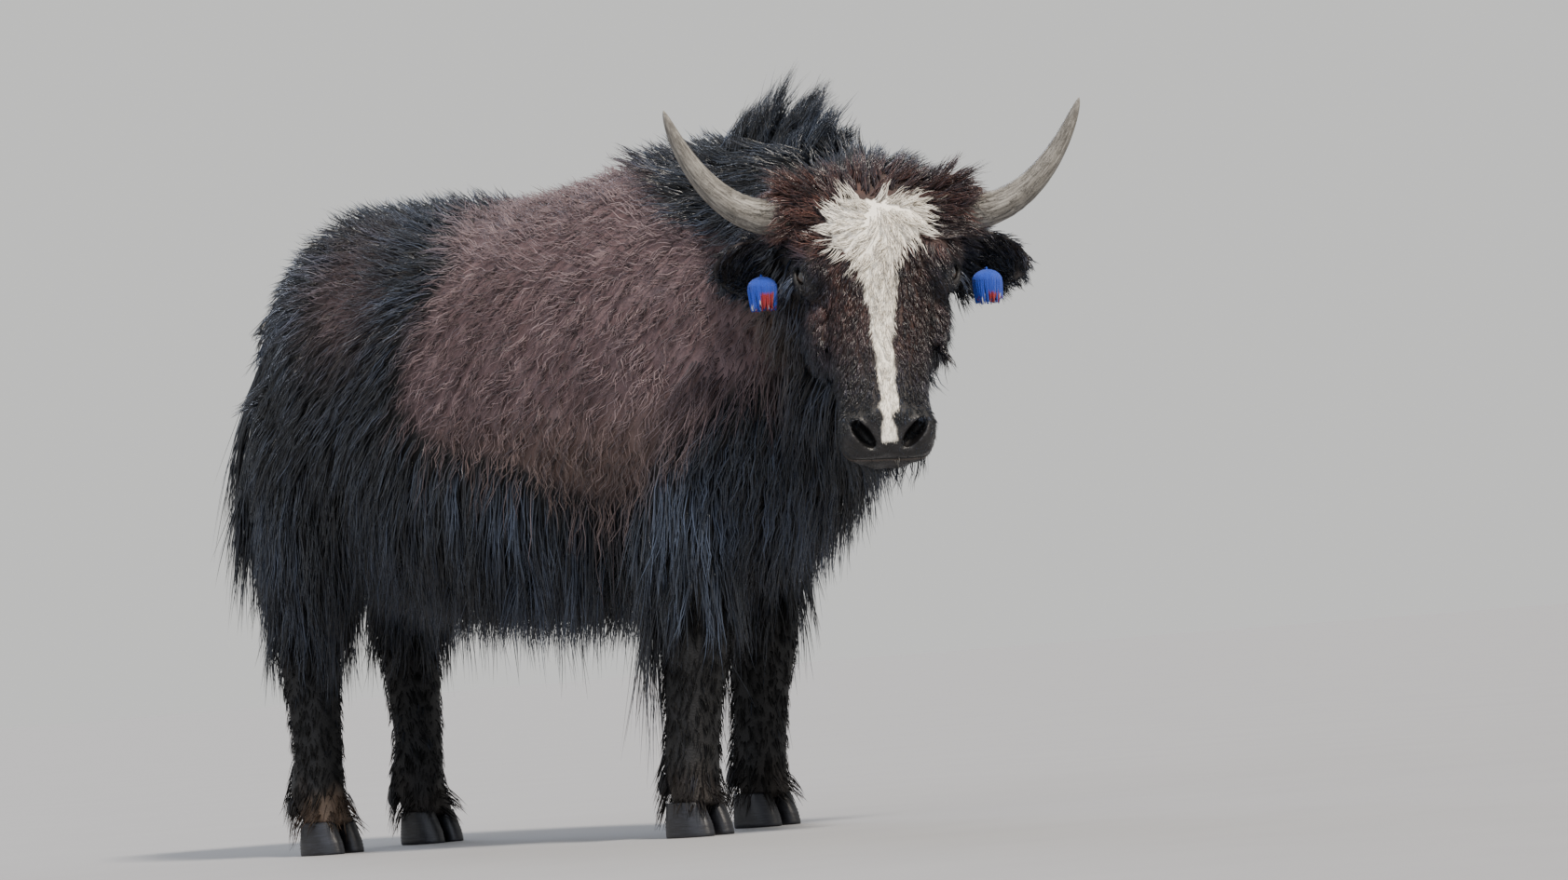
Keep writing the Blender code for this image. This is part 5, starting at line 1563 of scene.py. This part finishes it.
# %% Horns
for side, word in SIDES:
    controls = [on_side(place, side) for place in HORN]
    places = [on_curve(controls, step / (HORN_RINGS - 1)) for step in range(HORN_RINGS)]
    ends = zip([places[0], *places], [*places[1:], places[-1]])
    alongs = [(after - before).normalized() for before, after in ends]
    sides = [along.cross(FACE).normalized() for along in alongs]
    ups = [along.cross(across) for along, across in zip(alongs, sides)]

    def horn_radius(number, angle):
        share = number / (HORN_RINGS - 1)
        radius = HORN_RADIUS * (1.0 - share) ** 0.72 * (1.0 - 0.1 * share) + HORN_TIP_RADIUS * (1 - share**24)
        growth = math.sin(share * 95 + 1.3 * math.sin(share * 31) + 0.5 * math.sin(angle))
        growth *= max(0.0, 1 - 1.5 * share)
        facet = 0.6 * math.sin(3 * angle + 5 * share) + 0.4 * math.sin(7 * angle - 9 * share)
        return radius * (1 + 0.012 * facet) + HORN_RELIEF * growth

    horn = solid_of_rings("horn_sheath_" + word, places, sides, ups, horn_radius, HORN_SIDES, horn_mat)
    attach(horn, "root")
    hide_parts("horn_" + word)
    print(horn.name, len(horn.data.polygons), "faces")

# %% [markdown]
# Hooves. Each foot has two claws, flat below and rounded in front, with the inner walls straight and the
# outer walls curved, and two small dewclaws behind. A claw could be cut from a block, but a stack of rings
# lets low rings of growth run round its wall, and the worn edge of the sole is one term of their radius.

# %% Sizes of the hooves
CLAW_WIDTH = 0.043
CLAW_GAP = 0.006
CLAW_HEIGHTS = (0.0, 0.020, 0.056)
CLAW_HEELS = (-0.046, -0.045, -0.040)
CLAW_TOES = (0.052, 0.047, 0.030)
CLAW_SHARES = (1.0, 0.99, 0.86)
CLAW_RINGS = 22
CLAW_EDGE = 0.0016
CLAW_EDGE_HEIGHT = 0.005
GROWTH_RELIEF = 0.0004
GROWTH_RATE = 1100
DEWCLAW_HEIGHT = 0.085
DEWCLAW_RADIUS = 0.012
DEWCLAW_STRETCH = 1.6
DEWCLAW_OUT = 0.021
DEWCLAW_BACK = {"front": -0.048, "hind": -0.066}
DEWCLAW_AXIS = Vector((-0.35, 0.0, -1.0)).normalized()

print("a claw is", CLAW_TOES[0] - CLAW_HEELS[0], "m long at the sole")

# %% [markdown]
# Hoof horn is black, hard and dull, with level bands of growth, and dust stays in its scuffs. Bands on a
# living hoof are 2 to 3 mm apart, and so are these.

# %% Hoof material
hoof_mat, tree, shader = new_material("dusty_black_hoof")
place = add_node(tree, "TexCoord", out="Object")
level = add_node(tree, "Mapping", links={"Vector": place, "Scale": (0.12, 0.12, 1.0)})
band = add_node(tree, "TexNoise", links={"Vector": level, "Scale": 420.0, "Detail": 4.0, "Roughness": 0.6})
scuff = add_node(tree, "TexNoise", links={"Vector": place, "Scale": 120.0, "Detail": 5.0, "Roughness": 0.7})
blacks = ((0.30, "#0c0c10"), (0.55, "#18191f"), (0.75, "#2b2c35"))
horny = add_node(tree, "ValToRGB", {"stops": blacks}, {"Fac": band})
dust = add_node(tree, "ValToRGB", {"stops": ((0.55, "#000000"), (0.80, "#4a4a4a"))}, {"Fac": scuff})
colour = add_node(tree, "Mix", MIX, {0: dust, 6: horny, 7: "#5b5349"}, out=2)
tree.links.new(colour, shader.inputs["Base Color"])
shader.inputs["Roughness"].default_value = 0.45
relief = add_node(tree, "Bump", links={"Height": band, "Strength": 0.6, "Distance": 0.0008})
tree.links.new(relief, shader.inputs["Normal"])
print("hoof has", len(tree.nodes), "nodes")

# %% [markdown]
# Claws and dewclaws. The rings of a claw run from the sole to the hair line, and its outer half is drawn in
# towards the toe. A dewclaw is a small spur of horn that touches nothing, so an ellipsoid is enough.

# %% Hooves
def claw(name, foot, side):
    """One claw: rings from the sole to the hair line, straight within and curved without."""
    aside = foot[1] + side * (CLAW_WIDTH + CLAW_GAP) / 2
    bm = bmesh.new()
    rings = []
    for step in range(CLAW_RINGS):
        height = CLAW_HEIGHTS[-1] * step / (CLAW_RINGS - 1)
        heel = np.interp(height, CLAW_HEIGHTS, CLAW_HEELS)
        toe = np.interp(height, CLAW_HEIGHTS, CLAW_TOES)
        width = CLAW_WIDTH / 2 * np.interp(height, CLAW_HEIGHTS, CLAW_SHARES)
        worn = CLAW_EDGE * (1 - min(1.0, height / CLAW_EDGE_HEIGHT)) ** 2
        worn -= GROWTH_RELIEF * math.sin(height * GROWTH_RATE)
        centre = here((foot[0] + (toe + heel) / 2, aside, height))
        half = (toe - heel) / 2 - worn
        ring = add_ring(bm, centre, LEFT, FORWARD, width - worn, half, half, 2.5, 36)
        for vert in {vert for edge in ring for vert in edge.verts}:
            ahead = (vert.co.x - centre.x) / half
            across = (vert.co.y - centre.y) / width * side
            if ahead > 0:
                vert.co.y -= side * width * (0.30 * ahead**2 * max(0.0, across) + 0.10 * ahead**3)
        rings.append(ring)
    loft(bm, rings)
    obj = as_object(name, bm, hoof_mat)
    obj.data.shade_smooth()
    return obj


for name, foot in FEET.items():
    back = DEWCLAW_BACK[name.split("_")[0]]
    for side, word in SIDES:
        hoof = claw(f"hoof_{name}_{word}", foot, side)
        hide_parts(f"claw_{name}_{word}")
        centre = here((foot[0] + back, foot[1] + side * DEWCLAW_OUT, DEWCLAW_HEIGHT))
        axes = (LEFT, DEWCLAW_AXIS.cross(LEFT), DEWCLAW_AXIS)
        spur = ellipsoid(f"spur_{name}_{word}", centre, axes,
                         (DEWCLAW_RADIUS, DEWCLAW_RADIUS, DEWCLAW_RADIUS * DEWCLAW_STRETCH))
        spur.data.materials.append(hoof_mat)
        spur.data.shade_smooth()
        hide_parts(f"dewclaw_{name}_{word}")
        for piece in (hoof, spur):
            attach(piece, "root")
print("16 hoof pieces")

# %% [markdown]
# Eyes. A cow-like eye is large, dark brown and wet, with a wide level pupil and a brown-stained white
# that shows only at the corners. Its film of tears is a clear coat, far smoother than the ball, which
# catches one small bright light. The iris could be a disc behind a glass cornea, but in so dark an eye
# nobody sees the depth, so it is drawn on the ball by how far a point is off the gaze.

# %% Eye material
# One over the half width of iris and pupil, across and up the eye, in radii of the ball
IRIS_SCALE = (1.45, 1.45, 0.0)
PUPIL_SCALE = (2.6, 5.2, 0.0)

eye_mat, tree, shader = new_material("wet_dark_eye")
gaze = add_node(tree, "Attribute", {"attribute_name": "gaze"}, out="Vector")
off = []
for scale in (IRIS_SCALE, PUPIL_SCALE):
    scaled = add_node(tree, "VectorMath", {"operation": "MULTIPLY"}, {0: gaze, 1: scale})
    off.append(add_node(tree, "VectorMath", {"operation": "LENGTH"}, {0: scaled}, out="Value"))
veins = add_node(tree, "TexNoise", links={"Vector": gaze, "Scale": 14.0, "Detail": 4.0, "Roughness": 0.6})
iris, rim, white, pupil = [add_node(tree, "ValToRGB", {"stops": stops}, {"Fac": fed}) for fed, stops in (
    (off[0], ((0.0, "#1d1009"), (0.60, "#2a170c"), (0.84, "#140a06"), (0.96, "#080504"))),
    (off[0], ((0.94, "#000000"), (0.99, "#ffffff"))),
    (veins, ((0.35, "#1e1512"), (0.70, "#4a3a33"))),
    (off[1], ((0.90, "#ffffff"), (1.0, "#000000"))),
)]
ball = add_node(tree, "Mix", MIX, {0: rim, 6: iris, 7: white}, out=2)
colour = add_node(tree, "Mix", MIX, {0: pupil, 6: ball, 7: "#05070d"}, out=2)
tree.links.new(colour, shader.inputs["Base Color"])
shader.inputs["Roughness"].default_value = 0.06
shader.inputs["Coat Weight"].default_value = 1.0
shader.inputs["Coat Roughness"].default_value = 0.03
print("eye has", len(tree.nodes), "nodes")

# %% [markdown]
# Eyeballs. Each is one closed globe with the slight bulge of a cornea, set behind the slit of its lids. It
# keeps its own directions as the gaze of every point, because the two eyes look to different sides.

# %% Eyes
CORNEA_BULGE = 0.06
CORNEA_FROM = 0.70
for side, word in SIDES:
    axes = eye_axes(side)
    centre = on_side(EYE_AT, side)
    bm = bmesh.new()
    bmesh.ops.create_uvsphere(bm, u_segments=48, v_segments=32, radius=1.0)
    gazes = []
    for vert in bm.verts:
        local = vert.co.copy()
        bulge = 1.0 + CORNEA_BULGE * max(0.0, (local.z - CORNEA_FROM) / (1.0 - CORNEA_FROM)) ** 0.8
        gazes.append(tuple(local))
        spread = [axis * (part * EYE_RADIUS * bulge) for axis, part in zip(axes, local)]
        vert.co = centre + sum(spread, Vector())
    eyeball = as_object("eyeball_" + word, bm, eye_mat)
    eyeball.data.shade_smooth()
    store(eyeball.data, gaze=gazes)
    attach(eyeball, "root")
    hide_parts("eye_" + word)
print("eyeballs of", EYE_RADIUS * 2, "m")

# %% [markdown]
# Tassels. An ear tassel is a bundle of wool yarn tied in the middle, whose ends fold down over the
# knot like a mop. Most threads are blue, and some end in red or white. A solid dome with a striped relief
# would pass from afar, but not beside the ear, so each thread is a tube of its own, laid over a dome.

# %% Sizes of a tassel
TASSEL_AT = (0.074, 0.016, 0.024)
TASSEL_RADIUS = 0.0235
TASSEL_DROP = 0.050
THREAD_RADIUS = 0.00115
THREADS = 190
THREAD_RINGS = 12
THREAD_SIDES = 6
FOLD = 0.42
YARN_LAY = 0.006
RED_PATCH_TURN = {1: -0.6, -1: -0.3}
RED_PATCH_FROM = {1: 0.80, -1: 0.55}

print("a tassel has", THREADS, "threads")

# %% [markdown]
# Wool yarn is spun from many fibres and dyed, which gives strong matt colours, a soft halo at the edges
# and a lay that winds round each thread. The fibres of a thread wind round it once in 6 mm, and the clouds
# of 1 mm are where the dye took unevenly.

# %% Yarn material
yarn_mat, tree, shader = new_material("dyed_wool_yarn")
place = add_node(tree, "TexCoord", out="Object")
fibre = add_node(tree, "TexNoise", links={"Vector": place, "Scale": 900.0, "Detail": 3.0, "Roughness": 0.6})
dye = add_node(tree, "Attribute", {"attribute_name": "dye"}, out="Color")
dyes = add_node(tree, "SeparateColor", links={"Color": dye}, out=None).outputs
pairs = (("#002a8c", "#0548c4"), ("#6a0010", "#a80a1c"), ("#a5a8b2", "#d8dbe2"))
blue, red, white = [add_node(tree, "ValToRGB", {"stops": ((0.3, dark), (0.7, light))}, {"Fac": fibre})
                    for dark, light in pairs]
colour = add_node(tree, "Mix", MIX, {0: dyes["Red"], 6: blue, 7: red}, out=2)
colour = add_node(tree, "Mix", MIX, {0: dyes["Green"], 6: colour, 7: white}, out=2)
tree.links.new(colour, shader.inputs["Base Color"])
shader.inputs["Roughness"].default_value = 0.8
shader.inputs["Sheen Weight"].default_value = 0.15
turns = add_node(tree, "Attribute", {"attribute_name": "turns"}, out="Fac")
wound = add_node(tree, "Math", {"operation": "MULTIPLY"}, {0: turns, 1: math.tau * 2})
lay = add_node(tree, "Math", {"operation": "SINE"}, {0: wound})
relief = add_node(tree, "Bump", links={"Height": lay, "Strength": 0.6, "Distance": 0.0004})
tree.links.new(relief, shader.inputs["Normal"])
print("yarn has", len(tree.nodes), "nodes")

# %% [markdown]
# Threads. They leave the knot in a spiral of even turns, as seeds sit in a sunflower, so that no bare side
# shows. Every third one lies deeper. A patch of them near the front ends in red, as on the living animal.

# %% Threads of a tassel
GOLDEN_TURN = 2.39996
RED_END = 0.93
WHITE_END_FROM = 0.90


def tassel_place(side):
    """Where the tassel hangs from the lower rim of the ear."""
    out, across, opening = ear_axes(side)
    root = on_side(EAR_AT, side)
    lower = across if across.z < 0 else -across
    along, down, ahead = TASSEL_AT
    return root + out * along + lower * down + opening * ahead


def threads_of(top, side):
    """Places and dyes of every thread: out over the dome, and then down."""
    dice = np.random.default_rng(31 + side)
    number = np.arange(THREADS)
    angle = (number * GOLDEN_TURN)[:, None]
    layer = np.where(number % 3 > 0, 1.0, dice.uniform(0.35, 0.85, THREADS))[:, None]
    reach = (TASSEL_RADIUS - THREAD_RADIUS) * layer
    drop = TASSEL_DROP * dice.uniform(0.86, 1.06, THREADS)[:, None]
    share = np.linspace(0, 1, THREAD_RINGS)[None, :]
    bend = np.minimum(1.0, share / FOLD)
    after = np.maximum(0.0, share - FOLD)
    out = reach * np.sin(bend * math.pi / 2) * (1 - 0.5 * after**1.5)
    fall = reach * 0.75 * (1 - np.cos(bend * math.pi / 2)) + after / (1 - FOLD) * (drop - reach * 0.75)
    sway = dice.normal(size=(THREADS, 1, 2)) * 0.0018 * (share**2)[..., None]
    places = np.stack([out * np.cos(angle) + sway[..., 0], out * np.sin(angle) + sway[..., 1], -fall], axis=2)
    toward = math.atan2(CAMERA_AT.y - top.y, CAMERA_AT.x - top.x)
    facing = np.cos(angle - toward + RED_PATCH_TURN[side])
    in_patch = facing > 0.80
    kind = dice.random(THREADS)[:, None]
    red = (share > np.where(in_patch, RED_PATCH_FROM[side], RED_END)) & (kind < np.where(in_patch, 0.70, 0.16))
    pale = (share > WHITE_END_FROM) & (kind > 0.88)
    return places + np.array(top), np.stack([red, pale], axis=2).astype(float)


def round_tubes(places, radius, sides):
    """Ring corners round each path."""
    along = unit(np.gradient(places, axis=1))
    across = unit(np.cross(along, [0.31, 0.17, 0.93]))
    up = np.cross(along, across)
    turn = math.tau * np.arange(sides) / sides
    rim = across[:, :, None] * np.cos(turn)[:, None] + up[:, :, None] * np.sin(turn)[:, None]
    return places[:, :, None] + rim * radius[:, :, None, None]


print("tassels hang at", [tuple(round(v, 3) for v in tassel_place(side)) for side, _ in SIDES])

# %% [markdown]
# Hanging them. The threads of a tassel are one mesh. A loop of cord, fixed and only 50 mm round, ties it to
# the rim of the ear: a ring of rings, bridged until it closes.

# %% Ear tassels
LOOP_STEPS = 20
LOOP_HALF_HEIGHT = 0.006
LOOP_BITE = 0.004
LOOP_THICKNESS = 0.0014

for side, word in SIDES:
    top = tassel_place(side)
    places, dyes = threads_of(top, side)
    thick = np.full(places.shape[:2], THREAD_RADIUS)
    thick[:, [0, -1]] *= 0.7
    sections = round_tubes(places, thick, THREAD_SIDES)[:, :, ::-1]
    tips = places[:, -1] - np.array(UP) * THREAD_RADIUS * 0.5
    mesh, loops = mesh_of_tubes("yarn_tassel_" + word, sections, tips)
    corner = np.append(np.tile(np.arange(THREAD_SIDES) / THREAD_SIDES, THREAD_RINGS), 0.0)
    run = np.append(np.repeat(np.arange(THREAD_RINGS), THREAD_SIDES), THREAD_RINGS) / THREAD_RINGS
    turns = np.tile(corner + run * (TASSEL_DROP + TASSEL_RADIUS) / YARN_LAY, THREADS)
    ringed = np.concatenate([np.repeat(dyes, THREAD_SIDES, axis=1), dyes[:, -1:]], axis=1).reshape(-1, 2)
    shares = np.column_stack([ringed, np.zeros((len(ringed), 2))])
    store(mesh, dye=shares, turns=turns)
    mesh.materials.append(yarn_mat)
    yarn = in_scene("yarn_tassel_" + word, mesh)
    # The loop of cord, from the knot to the skin of the ear
    spot = head_tree.find_nearest(top)[0]
    middle, reach = (top + spot) / 2, (top - spot).length / 2 + LOOP_BITE
    way = (top - spot).normalized()
    flat = way.cross(UP).normalized()
    bm = bmesh.new()
    loop = []
    for step in range(LOOP_STEPS):
        angle = math.tau * step / LOOP_STEPS
        centre = middle + way * (reach * math.cos(angle)) + UP * (LOOP_HALF_HEIGHT * math.sin(angle))
        tangent = UP * (LOOP_HALF_HEIGHT * math.cos(angle)) - way * (reach * math.sin(angle))
        up = tangent.normalized().cross(flat)
        loop.append(add_ring(bm, centre, flat, up, LOOP_THICKNESS, LOOP_THICKNESS, LOOP_THICKNESS, 2.0, 8))
    hoop(bm, loop)
    cord = as_object("yarn_loop_" + word, bm, yarn_mat)
    cord.data.shade_smooth()
    for piece in (yarn, cord):
        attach(piece, "root")
    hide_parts("tassel_" + word)
    print(yarn.name, len(yarn.data.polygons), "faces")

# %% [markdown]
# Last, the skin is given to the body that it moves with, and takes the place of every solid of flesh.
# The eyes, horns, hooves and tassels have replaced their own solids. The box of the solid model and the
# box of the dressed one are printed side by side.

# %% Hand over the skin and finish
FLESH = ("torso", "neck", "head", "tail", "leg_", "ear_")
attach(skin, "root")
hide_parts(*[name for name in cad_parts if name.startswith(FLESH)])
boxes = {"solid": solid_box, "dressed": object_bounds()}
boxes = {name: [list(corner) for corner in box] for name, box in boxes.items()}
print(boxes)
